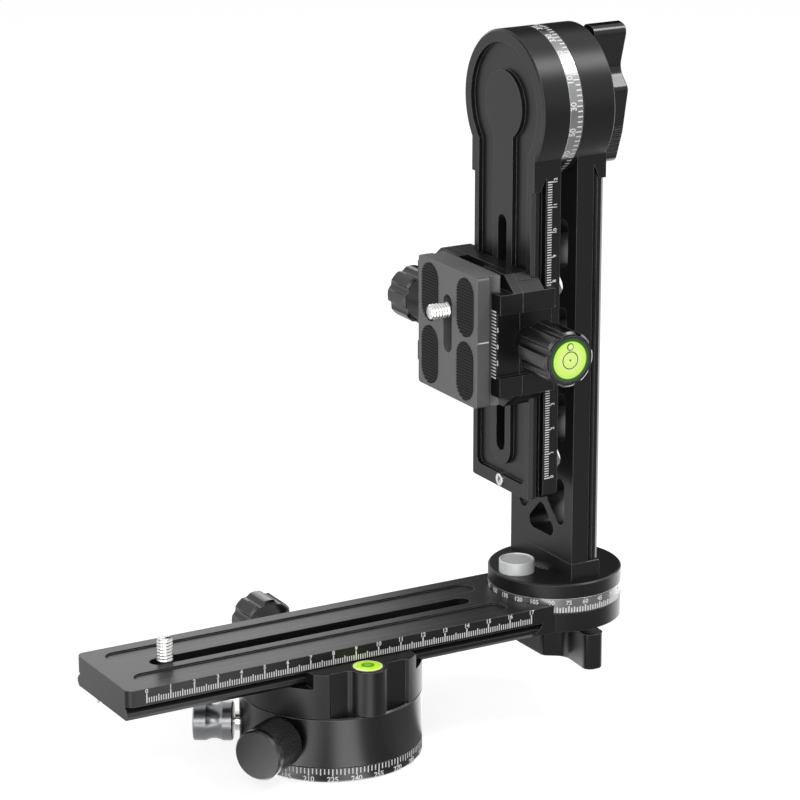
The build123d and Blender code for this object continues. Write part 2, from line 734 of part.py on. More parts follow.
def pan_brake_shoe():
    half_width = SHOE_WIDTH / 2
    half_height = SHOE_HEIGHT / 2
    shoe = block(HUB_RADIUS - 3, SHOE_OUTER, -half_width, half_width, -half_height, half_height)
    shoe -= rod_z(SHOE_INNER, -SHOE_HEIGHT, SHOE_HEIGHT)
    tip_room = SHOE_OUTER - LOCK_TIP_LENGTH - RUN_GAP
    shoe -= rod_x(LOCK_TIP_RADIUS + RUN_GAP, tip_room, SHOE_OUTER + 1)
    return along_lock(shoe)


# ---- Base clamp ------------------------------------------------------------------------------
DECK = RAIL_BOTTOM - DECK_GAP


def base_grip(side):
    """The gripping section along the rail on one side of the base clamp."""
    section = grip_outline(DECK - RAIL_BOTTOM, PAN_RADIUS + BASE_BOSS_RADIUS, JAW_TOP - RAIL_BOTTOM)
    points = [(side * across, RAIL_BOTTOM + depth) for across, depth in section]
    return prism_x(outline(points), -JAW_HALF_LENGTH, JAW_HALF_LENGTH)


def base_boss_footprint(low, high):
    """The round body with its flat front and the boss that holds the level."""
    body = rod_z(PAN_RADIUS, low, high)
    depth = PAN_RADIUS - BASE_FRONT_FLAT + 1
    half, mouth = BASE_FRONT_HALF, BASE_FRONT_HALF + depth
    pocket = [(-half, -BASE_FRONT_FLAT), (half, -BASE_FRONT_FLAT),
              (mouth, -BASE_FRONT_FLAT - depth), (-mouth, -BASE_FRONT_FLAT - depth)]
    body -= prism_z(outline(pocket), low - 1, high + 1)
    body += rod_z(BASE_BOSS_RADIUS, low, high, 0, -BASE_BOSS_OFFSET)
    roots = body.edges().filter_by(Axis.Z).filter_by(lambda edge: abs(edge.center().X) < BASE_BOSS_RADIUS)
    return fillet(roots, BASE_BOSS_FILLET)


def base_clamp_body():
    body = base_boss_footprint(HOUSING_TOP, DECK)
    body += base_boss_footprint(DECK, JAW_TOP) & base_grip(-1)
    half = JAW_HALF_LENGTH + SEAM_GAP
    body -= block(-half, half, BODY_BACK, PAN_RADIUS + 1, JAW_FLOOR - 0.2, DECK + 1)
    level_floor = JAW_TOP - BASE_LEVEL_DEPTH
    body -= rod_z(BASE_LEVEL_RADIUS, level_floor, JAW_TOP + 1, 0, -BASE_BOSS_OFFSET)
    body -= rod_z(RETAINER_RADIUS + 1, HOUSING_TOP - 1, RETAINER_BOLT_TOP + 0.3)
    body -= rod_y(CLAMP_SCREW_RADIUS + RUN_GAP, CLAMP_SCREW_INNER - 2, PAN_RADIUS, z=BASE_SCREW_HEIGHT)
    for x, y in clamp_bolt_places():
        body -= turned_over(clamp_bolt_space(), x, y, CLAMP_BOLT_TOP)
    for x in (-GUIDE_SPACING / 2, GUIDE_SPACING / 2):
        body -= rod_y(GUIDE_RADIUS + SEAT_GAP, GUIDE_START, PAN_RADIUS, x, GUIDE_HEIGHT)
    return body


def base_clamp_bolts():
    bolt = cap_screw(*CLAMP_BOLT_SIZE, CLAMP_BOLT_LENGTH - 0.2)
    return Compound([turned_over(bolt, x, y, CLAMP_BOLT_TOP) for x, y in clamp_bolt_places()])


def base_clamp_jaw():
    half = JAW_HALF_LENGTH
    lower = block(-half, half, JAW_START, PAN_RADIUS, JAW_FLOOR, DECK)
    jaw = (lower + base_grip(1)) & rod_z(PAN_RADIUS, JAW_FLOOR, JAW_TOP)
    seat = PAN_RADIUS - SEAT_DEPTH
    jaw -= rod_y(WASHER_RADIUS + 1.0, seat, PAN_RADIUS + 1, z=BASE_SCREW_HEIGHT)
    jaw -= rod_y(CLAMP_SCREW_RADIUS + 0.2, JAW_START - 1, PAN_RADIUS, z=BASE_SCREW_HEIGHT)
    for x in (-GUIDE_SPACING / 2, GUIDE_SPACING / 2):
        jaw -= rod_y(GUIDE_RADIUS + RUN_GAP, JAW_START - 1, GUIDE_END + 0.5, x, GUIDE_HEIGHT)
    return jaw


def base_guide_pins():
    places = (-GUIDE_SPACING / 2, GUIDE_SPACING / 2)
    return Compound([rod_y(GUIDE_RADIUS, GUIDE_START, GUIDE_END, x, GUIDE_HEIGHT) for x in places])


BASE_WASHER_START = PAN_RADIUS - SEAT_DEPTH
BASE_KNOB_START = BASE_WASHER_START + WASHER_THICKNESS + RUN_GAP


def base_clamp_washer():
    end = BASE_WASHER_START + WASHER_THICKNESS
    bore = CLAMP_SCREW_RADIUS + 0.2
    return tube_y(WASHER_RADIUS, bore, BASE_WASHER_START, end, z=BASE_SCREW_HEIGHT)


def base_clamp_screw():
    end = BASE_KNOB_START + KNOB_HOLE_DEPTH - 0.1
    return rod_y(CLAMP_SCREW_RADIUS, CLAMP_SCREW_INNER, end, z=BASE_SCREW_HEIGHT)


def base_clamp_knob():
    knob = Rot(-90, 0, 0) * clamp_knob(CLAMP_SCREW_RADIUS)
    return Pos(0, BASE_KNOB_START, BASE_SCREW_HEIGHT) * knob


def base_level_place(shape):
    return Pos(0, -BASE_BOSS_OFFSET, JAW_TOP + 0.2) * shape


# ---- Rail ------------------------------------------------------------------------------------
def rail():
    section = dovetail_outline(RAIL_TOP - RAIL_BOTTOM, BAND_HALF)
    points = [(across, RAIL_BOTTOM + depth) for across, depth in section]
    body = prism_x(outline(points), RAIL_LEFT, SWIVEL_X)
    corners = body.edges().filter_by(Axis.Z).group_by(Axis.X)[0]
    body = fillet(corners.filter_by(lambda edge: edge.length > RAIL_CORNER * 2), RAIL_CORNER)
    body -= block(DOVETAIL_END, SWIVEL_X + 1, -BAND_HALF - 1, BAND_HALF + 1, 0, SWIVEL_LOWER_BOTTOM)
    body += rail_end_block()
    body += rod_z(SWIVEL_RADIUS, SWIVEL_LOWER_BOTTOM, SWIVEL_LOWER_TOP, SWIVEL_X)
    ring_room = SWIVEL_RADIUS + SEAM_GAP
    body -= rod_z(ring_room, SWIVEL_LOWER_TOP, RAIL_TOP + 1, SWIVEL_X)
    body -= rod_z(PIVOT_BUSH_RADIUS + SEAT_GAP, RAIL_BOTTOM - 1, RAIL_TOP, SWIVEL_X)
    body -= swivel_track()
    body -= prism_z(stadium(RAIL_SLOT_WIDTH, RAIL_SLOT_LEFT, RAIL_SLOT_RIGHT), 0, RAIL_TOP + 1)
    extra = (RAIL_SLOT_STEP_WIDTH - RAIL_SLOT_WIDTH) / 2
    step = stadium(RAIL_SLOT_STEP_WIDTH, RAIL_SLOT_LEFT - extra, RAIL_SLOT_RIGHT + extra)
    body -= prism_z(step, 0, RAIL_BOTTOM + RAIL_SLOT_STEP)
    for side in (-1, 1):
        across = side * RAIL_POCKET_OFFSET
        pocket = stadium(RAIL_POCKET_WIDTH, RAIL_POCKET_LEFT, RAIL_POCKET_RIGHT, across)
        body -= prism_z(pocket, RAIL_TOP - RAIL_POCKET_DEPTH, RAIL_TOP + 1)
    body -= rod_z(STOP_PIN_RADIUS + SEAT_GAP, 0, RAIL_BOTTOM + 5, STOP_PIN_X, STOP_PIN_Y)
    return body


def rail_end_block():
    """The full-width end of the rail; the dovetail runs out into its slanted face."""
    slope = [
        (DOVETAIL_END, SWIVEL_LOWER_BOTTOM),
        (DOVETAIL_END + DOVETAIL_SLANT, RAIL_BOTTOM + BAND_START),
        (DOVETAIL_END + DOVETAIL_SLANT, RAIL_TOP),
        (SWIVEL_X, RAIL_TOP),
        (SWIVEL_X, SWIVEL_LOWER_BOTTOM),
    ]
    return prism_y(outline(slope), -BAND_HALF, BAND_HALF)


def swivel_track():
    """The groove under the detent pin, with a deeper pocket at each stop."""
    outer = TRACK_RADIUS + TRACK_WIDTH / 2
    inner = TRACK_RADIUS - TRACK_WIDTH / 2
    floor = SWIVEL_LOWER_TOP - TRACK_DEPTH
    track = tube_z(outer, inner, floor, RAIL_TOP, SWIVEL_X)
    for index in range(TRACK_STOPS):
        x, y = polar(TRACK_RADIUS, 360 * index / TRACK_STOPS)
        track += rod_z(TRACK_WIDTH / 2, floor - STOP_POCKET_DEPTH, RAIL_TOP, SWIVEL_X + x, y)
    return track


def rail_stop_pin():
    return rod_z(STOP_PIN_RADIUS, STOP_PIN_BOTTOM, RAIL_BOTTOM + 4.8, STOP_PIN_X, STOP_PIN_Y)


def swivel_bush():
    """A bush with a thin flange that the upper disc turns on."""
    top = SWIVEL_LOWER_TOP + PIVOT_FLANGE
    bush = rod_z(PIVOT_BUSH_RADIUS, SWIVEL_LOWER_BOTTOM, top, SWIVEL_X)
    bush += rod_z(PIVOT_FLANGE_RADIUS, SWIVEL_LOWER_TOP, top, SWIVEL_X)
    return bush - rod_z(PIVOT_BOLT_RADIUS + RUN_GAP, 0, RAIL_TOP, SWIVEL_X)


# ---- Camera screws ---------------------------------------------------------------------------
def camera_screw(reach, neck):
    """A slotted 1/4 inch screw along +Z, its seat under the head at zero, threaded from the neck on."""
    screw = rod_z(STUD_HEAD_RADIUS, -STUD_HEAD, 0) + rod_z(STUD_NECK_RADIUS, -0.01, neck + 0.01)
    screw += rod_z(STUD_RADIUS, neck, reach)
    slot = block(-STUD_HEAD_RADIUS, STUD_HEAD_RADIUS, -STUD_SLOT_WIDTH / 2, STUD_SLOT_WIDTH / 2,
                 -STUD_HEAD - 1, -STUD_HEAD + 1.4)
    return chamfer(screw.edges().group_by(Axis.Z)[-1], 0.6) - slot


def rail_stud():
    seat = RAIL_BOTTOM + RAIL_SLOT_STEP - RUN_GAP
    return Pos(RAIL_STUD_X, 0, seat) * camera_screw(RAIL_STUD_TOP - seat, RAIL_TOP + STUD_NECK_CLEAR - seat)


# ---- Swivel top ------------------------------------------------------------------------------
SWIVEL_SPIGOT_BOTTOM = SWIVEL_LOWER_TOP + SEAM_GAP
BUTTON_X = SWIVEL_X - TRACK_RADIUS
FOOT_SCREW_SIZE = (2.0, 3.5, 2.4)


def foot_screw_places():
    middle = (UPRIGHT_FRONT + UPRIGHT_BACK) / 2
    return [(middle, -FOOT_SCREW_SPACING / 2), (middle, FOOT_SCREW_SPACING / 2)]


def foot_screw_space():
    return screw_space(*FOOT_SCREW_SIZE, FOOT_SCREW_LENGTH, mouth=20)


def swivel_disc():
    disc = rod_z(SWIVEL_RADIUS, SWIVEL_RING_TOP, SWIVEL_DISC_TOP, SWIVEL_X)
    disc = chamfer(disc.edges().group_by(Axis.Z)[-1], 0.5)
    disc += rod_z(SWIVEL_SPIGOT_RADIUS, SWIVEL_SPIGOT_BOTTOM, SWIVEL_RING_TOP + 1, SWIVEL_X)
    disc -= rod_z(PIVOT_BOLT_RADIUS + SEAT_GAP, 0, SWIVEL_DISC_TOP, SWIVEL_X)
    head_floor = SWIVEL_DISC_TOP - PIVOT_HEAD
    disc -= rod_z(PIVOT_HEAD_RADIUS + SEAT_GAP, head_floor, SWIVEL_DISC_TOP + 1, SWIVEL_X)
    pocket_floor = SWIVEL_DISC_TOP - BUTTON_POCKET_DEPTH
    disc -= rod_z(BUTTON_POCKET_RADIUS, pocket_floor, SWIVEL_DISC_TOP + 1, BUTTON_X)
    disc -= rod_z(BUTTON_PIN_RADIUS + RUN_GAP, 0, SWIVEL_DISC_TOP, BUTTON_X)
    for x, y in foot_screw_places():
        disc -= Pos(x, y, FOOT_SCREW_START) * foot_screw_space()
    return disc


def swivel_scale_ring():
    inner = SWIVEL_SPIGOT_RADIUS + SEAT_GAP
    return tube_z(SWIVEL_RADIUS, inner, SWIVEL_SPIGOT_BOTTOM, SWIVEL_RING_TOP, SWIVEL_X)


def pivot_bolt(head_face, shoulder, end):
    """A headed pivot bolt along -Z from the head's outer face; the end carries the thread."""
    bolt = rod_z(PIVOT_HEAD_RADIUS, head_face - PIVOT_HEAD, head_face)
    bolt += rod_z(PIVOT_BOLT_RADIUS, shoulder, head_face - 1)
    return bolt + rod_z(PIVOT_THREAD_RADIUS, end, shoulder + 1)


SWIVEL_SHOULDER = SWIVEL_LOWER_BOTTOM + 0.1
SWIVEL_KNOB_FACE = SWIVEL_LOWER_BOTTOM - KNOB_FACE_GAP


def swivel_bolt():
    end = SWIVEL_KNOB_FACE - WING_THREAD_DEPTH + 0.5
    return Pos(SWIVEL_X, 0, 0) * pivot_bolt(SWIVEL_DISC_TOP, SWIVEL_SHOULDER, end)


def swivel_knob():
    knob = Rot(180, 0, 180) * wing_knob(SWIVEL_KNOB_FOOT)
    return Pos(SWIVEL_X, 0, SWIVEL_KNOB_FACE) * knob


def swivel_button():
    button = rod_z(BUTTON_RADIUS, BUTTON_BOTTOM, BUTTON_TOP, BUTTON_X)
    button = fillet(button.edges().group_by(Axis.Z)[-1], 0.4)
    button -= rod_z(BUTTON_RADIUS - BUTTON_RIM, BUTTON_TOP - BUTTON_DISH, BUTTON_TOP + 1, BUTTON_X)
    spring_room = BUTTON_SPRING_OUTER + 0.2
    button -= rod_z(spring_room, BUTTON_BOTTOM - 1, button_ceiling(), BUTTON_X)
    nose = SWIVEL_LOWER_TOP - 0.2
    return button + rod_z(BUTTON_PIN_RADIUS, nose, button_ceiling() + 1, BUTTON_X)


def button_ceiling():
    """The top of the button's spring room, which clears the spring when pressed."""
    return SWIVEL_DISC_TOP + BUTTON_TRAVEL + 0.3


def button_spring():
    low = SWIVEL_DISC_TOP - BUTTON_POCKET_DEPTH
    high = button_ceiling() - 0.05
    return tube_z(BUTTON_SPRING_OUTER, BUTTON_SPRING_INNER, low, high, BUTTON_X)


# ---- Upright ---------------------------------------------------------------------------------
def foot_block():
    foot = block(UPRIGHT_FRONT, UPRIGHT_BACK, -BAND_HALF, BAND_HALF, SWIVEL_DISC_TOP, FOOT_TOP)
    foot = chamfer(foot.edges().group_by(Axis.Z)[-1], FOOT_EDGE)
    for x, y in foot_screw_places():
        foot -= Pos(x, y, FOOT_SCREW_START) * foot_screw_space()
    return foot


def foot_screws():
    screw = cap_screw(*FOOT_SCREW_SIZE, FOOT_SCREW_LENGTH - 0.2)
    return Compound([Pos(x, y, FOOT_SCREW_START) * screw for x, y in foot_screw_places()])


def lattice_side(centre, side):
    """A triangular opening whose long edge lies along one side of the upright."""
    point = LATTICE_WEB / sqrt(2)
    reach = LATTICE_HALF - point
    corners = [
        (side * point, centre),
        (side * LATTICE_HALF, centre + reach),
        (side * LATTICE_HALF, centre - reach),
    ]
    return rounded(corners, [LATTICE_ROUND] * 3)


def lattice_diamond(centre):
    """A four-cornered opening between two crossings of the webs."""
    reach = (LATTICE_PITCH - 2 * LATTICE_WEB / sqrt(2)) / 2
    corners = [(0, centre - reach), (-reach, centre), (0, centre + reach), (reach, centre)]
    return rounded(corners, [LATTICE_ROUND] * 4)


def lattice_end(apex, base):
    """A half diamond that closes the lattice at its foot or crown."""
    reach = abs(apex - base)
    corners = [(0, apex), (-reach, base), (reach, base)]
    return rounded(corners, [LATTICE_ROUND] * 3)


def lattice_openings():
    faces = []
    crossings = [LATTICE_FIRST + LATTICE_PITCH * row for row in range(LATTICE_ROWS)]
    for crossing in crossings:
        faces.append(lattice_side(crossing, -1))
        faces.append(lattice_side(crossing, 1))
    for crossing in crossings[1:]:
        faces.append(lattice_diamond(crossing - LATTICE_PITCH / 2))
    web = LATTICE_WEB / sqrt(2)
    faces.append(lattice_end(crossings[0] - web, LATTICE_BASE))
    faces.append(lattice_end(crossings[-1] + web, LATTICE_CROWN))
    return faces


def above_groove(face, far_face, top):
    """The solid above a dovetail groove, whose ends run out in a slope, up to the tilt axis."""
    side = 1 if far_face > face else -1
    low = top - GROOVE_SLANT
    profile = [
        (face, low),
        (face + side * FLANGE_TOP, low),
        (face + side * BAND_START, top),
        (far_face, top),
        (far_face, TILT_Z),
        (face, TILT_Z),
    ]
    return prism_y(outline(profile), -BAND_HALF, BAND_HALF)


def upright():
    section = dovetail_outline(UPRIGHT_BACK - UPRIGHT_FRONT, BAND_HALF)
    points = [(UPRIGHT_BACK - depth, across) for across, depth in section]
    grooved = prism_z(outline(points), FOOT_TOP, UPRIGHT_GROOVE_TOP)
    body = grooved + above_groove(UPRIGHT_BACK, UPRIGHT_FRONT, UPRIGHT_GROOVE_TOP)
    for opening in lattice_openings():
        body -= prism_x(opening, UPRIGHT_FRONT - 1, UPRIGHT_BACK + 1)
    disc = rod_x(TILT_RADIUS, TILT_DISC_FRONT, UPRIGHT_BACK, z=TILT_Z)
    body += chamfer(disc.edges().group_by(Axis.X)[-1], 0.6)
    body -= rod_x(PIVOT_BUSH_RADIUS + SEAT_GAP, TILT_DISC_FRONT - 1, UPRIGHT_BACK + 1, z=TILT_Z)
    for x, y in foot_screw_places():
        body -= Pos(x, y, FOOT_SCREW_START) * foot_screw_space()
    return body


def tilt_bush():
    """A bush with a thin flange that the swing arm turns on."""
    front = TILT_DISC_FRONT - PIVOT_FLANGE
    bush = rod_x(PIVOT_BUSH_RADIUS, front, UPRIGHT_BACK, z=TILT_Z)
    bush += rod_x(PIVOT_FLANGE_RADIUS, front, TILT_DISC_FRONT, z=TILT_Z)
    return bush - rod_x(PIVOT_BOLT_RADIUS + RUN_GAP, front - 1, UPRIGHT_BACK + 1, z=TILT_Z)


TILT_KNOB_FACE = UPRIGHT_BACK + KNOB_FACE_GAP


def tilt_knob():
    knob = Rot(0, 0, TILT_KNOB_TURN) * wing_knob(TILT_KNOB_FOOT)
    facing_back = Plane(origin=(TILT_KNOB_FACE, 0, TILT_Z), x_dir=(0, 1, 0), z_dir=(1, 0, 0))
    return facing_back.location * knob


# ---- Swing arm -------------------------------------------------------------------------------
def keyhole(half_width, head_radius, bottom, corner):
    """A stem with a round head about the tilt axis, as a (y, z) outline."""
    stem_top = TILT_Z
    stem = [(-half_width, bottom), (half_width, bottom), (half_width, stem_top), (-half_width, stem_top)]
    face = rounded(stem, [corner, corner, 0.5, 0.5])
    return face + Pos(0, TILT_Z) * Circle(head_radius)


def swing_arm():
    section = dovetail_outline(ARM_BACK - ARM_FRONT, BAND_HALF)
    points = [(ARM_FRONT + depth, across) for across, depth in section]
    stem = prism_z(outline(points), ARM_BOTTOM, ARM_GROOVE_TOP)
    stem += above_groove(ARM_FRONT, ARM_BACK, ARM_GROOVE_TOP)
    bounds = [(-BAND_HALF, ARM_BOTTOM), (BAND_HALF, ARM_BOTTOM), (BAND_HALF, TILT_Z), (-BAND_HALF, TILT_Z)]
    stem = stem & prism_x(rounded(bounds, [ARM_CORNER, ARM_CORNER, 0.1, 0.1]), ARM_FRONT, ARM_BACK)
    head = rod_x(TILT_RADIUS, ARM_FRONT, ARM_BACK, z=TILT_Z)
    arm = stem + chamfer(head.edges().group_by(Axis.X)[0], 0.8)
    arm += rod_x(TILT_SPIGOT_RADIUS, ARM_BACK - 1, TILT_RING_BACK, z=TILT_Z)
    recess = keyhole(ARM_RECESS_HALF, ARM_RECESS_HEAD, ARM_RECESS_BOTTOM, ARM_RECESS_CORNER)
    island = keyhole(ARM_ISLAND_HALF, ARM_ISLAND_HEAD, ARM_ISLAND_BOTTOM, ARM_ISLAND_HALF - 0.1)
    arm -= prism_x(recess, ARM_FRONT - 1, ARM_FRONT + ARM_RECESS) - prism_x(island, 0, ARM_BACK)
    slot = upright_stadium(ARM_SLOT_WIDTH, ARM_SLOT_BOTTOM, ARM_SLOT_TOP)
    arm -= prism_x(slot, ARM_FRONT - 1, ARM_BACK + 1)
    arm -= rod_x(PIVOT_BOLT_RADIUS + SEAT_GAP, ARM_BACK - PIVOT_HEAD, TILT_RING_BACK + 1, z=TILT_Z)
    arm -= rod_x(PIVOT_HEAD_RADIUS + SEAT_GAP, tilt_head_face(), tilt_head_face() + PIVOT_HEAD, z=TILT_Z)
    arm -= rod_x(PIVOT_HEAD_RADIUS + SEAT_GAP, tilt_head_face(), TILT_RING_BACK + 1, z=TILT_Z)
    arm -= rod_x(ARM_STOP_RADIUS + SEAT_GAP, ARM_FRONT - 1, ARM_FRONT + 6, z=ARM_STOP_Z)
    return arm


def tilt_head_face():
    """The pivot bolt's head is sunk in the arm from behind."""
    return TILT_RING_BACK - PIVOT_HEAD


def tilt_scale_ring():
    inner = TILT_SPIGOT_RADIUS + SEAT_GAP
    return tube_x(TILT_RADIUS, inner, ARM_BACK, TILT_RING_BACK, z=TILT_Z)


def tilt_bolt():
    """The tilt bolt, modelled along -Z from its head and turned to point at the knob."""
    length = TILT_KNOB_FACE + WING_THREAD_DEPTH - 0.5 - tilt_head_face()
    shoulder = UPRIGHT_BACK - 0.1 - tilt_head_face()
    bolt = pivot_bolt(0, -shoulder, -length)
    facing_front = Plane(origin=(tilt_head_face(), 0, TILT_Z), x_dir=(0, 1, 0), z_dir=(-1, 0, 0))
    return facing_front.location * bolt


def arm_stop_screw():
    low = ARM_FRONT - ARM_STOP_PROUD
    screw = rod_x(ARM_STOP_RADIUS, low, ARM_FRONT + 5.8, z=ARM_STOP_Z)
    socket = Rot(0, 90, 0) * extrude(RegularPolygon(1.3, 6, major_radius=False), 1.6)
    return screw - Pos(low - 0.1, 0, ARM_STOP_Z) * socket


# ---- Double clamp ----------------------------------------------------------------------------
ARM_DECK = ARM_FRONT - DECK_GAP
PLATE_DECK = PLATE_BACK + DECK_GAP
PLATE_LIP = PLATE_BACK - GRIP_TOP + PLATE_FLANGE_TRIM


def clamp_envelope(front, back):
    """The outer form of the clamp: chamfered at its long corners, with lips that end square."""
    low, high = CLAMP_Z - CLAMP_END_HALF, CLAMP_Z + CLAMP_END_HALF
    side_low, side_high = CLAMP_Z - CLAMP_SIDE_HALF, CLAMP_Z + CLAMP_SIDE_HALF
    corners = [
        (CLAMP_NEAR, side_low),
        (CLAMP_NEAR + CLAMP_CHAMFER, low),
        (CLAMP_FAR - CLAMP_CHAMFER, low),
        (CLAMP_FAR, side_low),
        (CLAMP_FAR, side_high),
        (CLAMP_FAR - CLAMP_CHAMFER, high),
        (CLAMP_NEAR + CLAMP_CHAMFER, high),
        (CLAMP_NEAR, side_high),
    ]
    body = prism_x(outline(corners), front, back)
    for end in (-1, 1):
        past_side = sorted((CLAMP_Z + end * CLAMP_SIDE_HALF, CLAMP_Z + end * (CLAMP_END_HALF + 1)))
        for span in ((PLATE_LIP - 1, CLAMP_LIP_END_FRONT), (CLAMP_LIP_END_BACK, CLAMP_BACK + 1)):
            body -= block(*span, CLAMP_NEAR - 1, CLAMP_FAR + 1, *past_side)
    waist_low, waist_high = CLAMP_Z - CLAMP_WAIST_HALF, CLAMP_Z + CLAMP_WAIST_HALF
    near_cut = block(front - 1, back + 1, CLAMP_NEAR - 1, CLAMP_NEAR + CLAMP_WAIST_DEPTH, waist_low, waist_high)
    far_cut = block(front - 1, back + 1, CLAMP_FAR - CLAMP_WAIST_DEPTH, CLAMP_FAR + 1, waist_low, waist_high)
    return body - near_cut - far_cut


def grip_along_z(side, deck_x, direction, top, reach, trim=0.0):
    """A gripping section on one side of the clamp, extruded over the clamp's height."""
    section = grip_outline(-DECK_GAP, reach, top, trim)
    points = [(deck_x + direction * depth, side * across) for across, depth in section]
    return prism_z(outline(points), CLAMP_Z - CLAMP_END_HALF, CLAMP_Z + CLAMP_END_HALF)


def arm_grip(side):
    reach = max(-CLAMP_NEAR, CLAMP_FAR)
    return grip_along_z(side, ARM_FRONT, 1, CLAMP_BACK - ARM_FRONT, reach)


def plate_grip(side):
    reach = max(-CLAMP_NEAR, CLAMP_FAR)
    lip_depth = PLATE_BACK - PLATE_LIP
    return grip_along_z(side, PLATE_BACK, -1, lip_depth + 0.01, reach, PLATE_FLANGE_TRIM)


def clamp_guide_heights():
    return (CLAMP_Z - CLAMP_GUIDE_OFFSET, CLAMP_Z + CLAMP_GUIDE_OFFSET)


CORE_SCREW_SIZE = (1.5, 2.7, 2.6)


def core_screw_places():
    half = CORE_SCREW_SPACING / 2
    return [(y, CLAMP_Z + dz) for y in (-10, 10) for dz in (-half, half)]


def core_screw_x(shape, y, z):
    """A fastener placed along -X with its head in the arm-side deck."""
    facing = Plane(origin=(ARM_DECK - 0.3, y, z), x_dir=(0, 1, 0), z_dir=(-1, 0, 0))
    return facing.location * shape


def plate_clamp_body():
    """Front half of the double clamp: deck, near jaw and the boss that holds both threads."""
    low, high = CLAMP_Z - CLAMP_END_HALF, CLAMP_Z + CLAMP_END_HALF
    deck = block(PLATE_DECK, CLAMP_SEAM, CLAMP_NEAR, CLAMP_JAW_SPLIT - SEAM_GAP, low, high)
    body = deck + plate_grip(-1)
    body = body & clamp_envelope(PLATE_LIP, CLAMP_SEAM)
    boss_low, boss_high = CLAMP_Z - BOSS_HALF, CLAMP_Z + BOSS_HALF
    inner = CLAMP_JAW_SPLIT - SEAM_GAP
    body += block(CLAMP_SEAM - 1, ARM_DECK - SLIDE_GAP, -inner, inner, boss_low, boss_high)
    half_notch = CLAMP_NOTCH_WIDTH / 2
    notch_floor = high - CLAMP_NOTCH_DEPTH
    body -= block(CLAMP_NOTCH_FRONT, CLAMP_SEAM + 1, CLAMP_NOTCH_MIDDLE - half_notch,
                  CLAMP_NOTCH_MIDDLE + half_notch, notch_floor, high + 1)
    body -= clamp_screw_bores()
    body -= clamp_guide_bores(PLATE_CLAMP_GUIDE_X, 1)
    for y, z in core_screw_places():
        body -= core_screw_x(screw_space(*CORE_SCREW_SIZE, 10, mouth=1), y, z)
    return body


PLATE_CLAMP_GUIDE_X = (PLATE_DECK + CLAMP_SEAM) / 2
ARM_CLAMP_GUIDE_X = (CLAMP_SEAM + ARM_DECK) / 2


def clamp_screw_bores():
    """Threads for the two clamp screws, one from each side."""
    radius = ARM_SCREW_RADIUS + RUN_GAP
    near = rod_y(radius, CLAMP_NEAR - 1, -CLAMP_THREAD_END + 1, ARM_KNOB_X, CLAMP_Z)
    far = rod_y(radius, CLAMP_THREAD_END - 1, CLAMP_FAR + 1, PLATE_KNOB_X, CLAMP_Z)
    return near + far


def clamp_guide_bores(x, side):
    """Blind holes for the two pins that keep a jaw square."""
    face = side * (CLAMP_JAW_SPLIT - SEAM_GAP)
    inner = side * (CLAMP_JAW_SPLIT - SEAM_GAP - CLAMP_GUIDE_DEPTH)
    low, high = sorted((inner, face + side))
    radius = CLAMP_GUIDE_RADIUS + SEAT_GAP
    first, second = clamp_guide_heights()
    return rod_y(radius, low, high, x, first) + rod_y(radius, low, high, x, second)


def arm_clamp_sleeve():
    """Rear half of the double clamp: deck and the far jaw that hooks the arm's dovetail."""
    low, high = CLAMP_Z - CLAMP_END_HALF, CLAMP_Z + CLAMP_END_HALF
    start = CLAMP_SEAM
    deck = block(start, ARM_DECK, -CLAMP_JAW_SPLIT + SEAM_GAP, CLAMP_FAR, low, high)
    body = (deck + arm_grip(1)) & clamp_envelope(start, CLAMP_BACK)
    boss_low, boss_high = CLAMP_Z - BOSS_HALF - SEAT_GAP, CLAMP_Z + BOSS_HALF + SEAT_GAP
    inner = CLAMP_JAW_SPLIT
    body -= block(start - 1, ARM_DECK + 1, -inner, inner, boss_low, boss_high)
    tail_half = BOSS_HALF + SEAM_GAP
    tail_low, tail_high = CLAMP_Z - tail_half, CLAMP_Z + tail_half
    body -= block(start - 1, BOSS_BACK + SEAM_GAP, 0, CLAMP_FAR + 1, tail_low, tail_high)
    body -= clamp_guide_bores(ARM_CLAMP_GUIDE_X, -1)
    for y, z in core_screw_places():
        body -= core_screw_x(screw_space(*CORE_SCREW_SIZE, 10, mouth=1), y, z)
    return body


def core_screws():
    screw = cap_screw(*CORE_SCREW_SIZE, 9.8)
    return Compound([core_screw_x(screw, y, z) for y, z in core_screw_places()])


def jaw_guide_holes(x, side):
    face = side * (CLAMP_JAW_SPLIT - 1)
    end = side * (CLAMP_JAW_SPLIT + guide_reach() + 0.4)
    low, high = sorted((face, end))
    radius = CLAMP_GUIDE_RADIUS + RUN_GAP
    first, second = clamp_guide_heights()
    return rod_y(radius, low, high, x, first) + rod_y(radius, low, high, x, second)


def guide_reach():
    """How far the guide pins run into the moving jaws."""
    return -CLAMP_NEAR - CLAMP_JAW_SPLIT - 1.2


def clamp_guide_pins():
    pins = []
    for x, side in ((PLATE_CLAMP_GUIDE_X, 1), (ARM_CLAMP_GUIDE_X, -1)):
        inner = side * (CLAMP_JAW_SPLIT - SEAM_GAP - CLAMP_GUIDE_DEPTH + 0.2)
        outer = side * (CLAMP_JAW_SPLIT + guide_reach())
        low, high = sorted((inner, outer))
        for height in clamp_guide_heights():
            pins.append(rod_y(CLAMP_GUIDE_RADIUS, low, high, x, height))
    return Compound(pins)


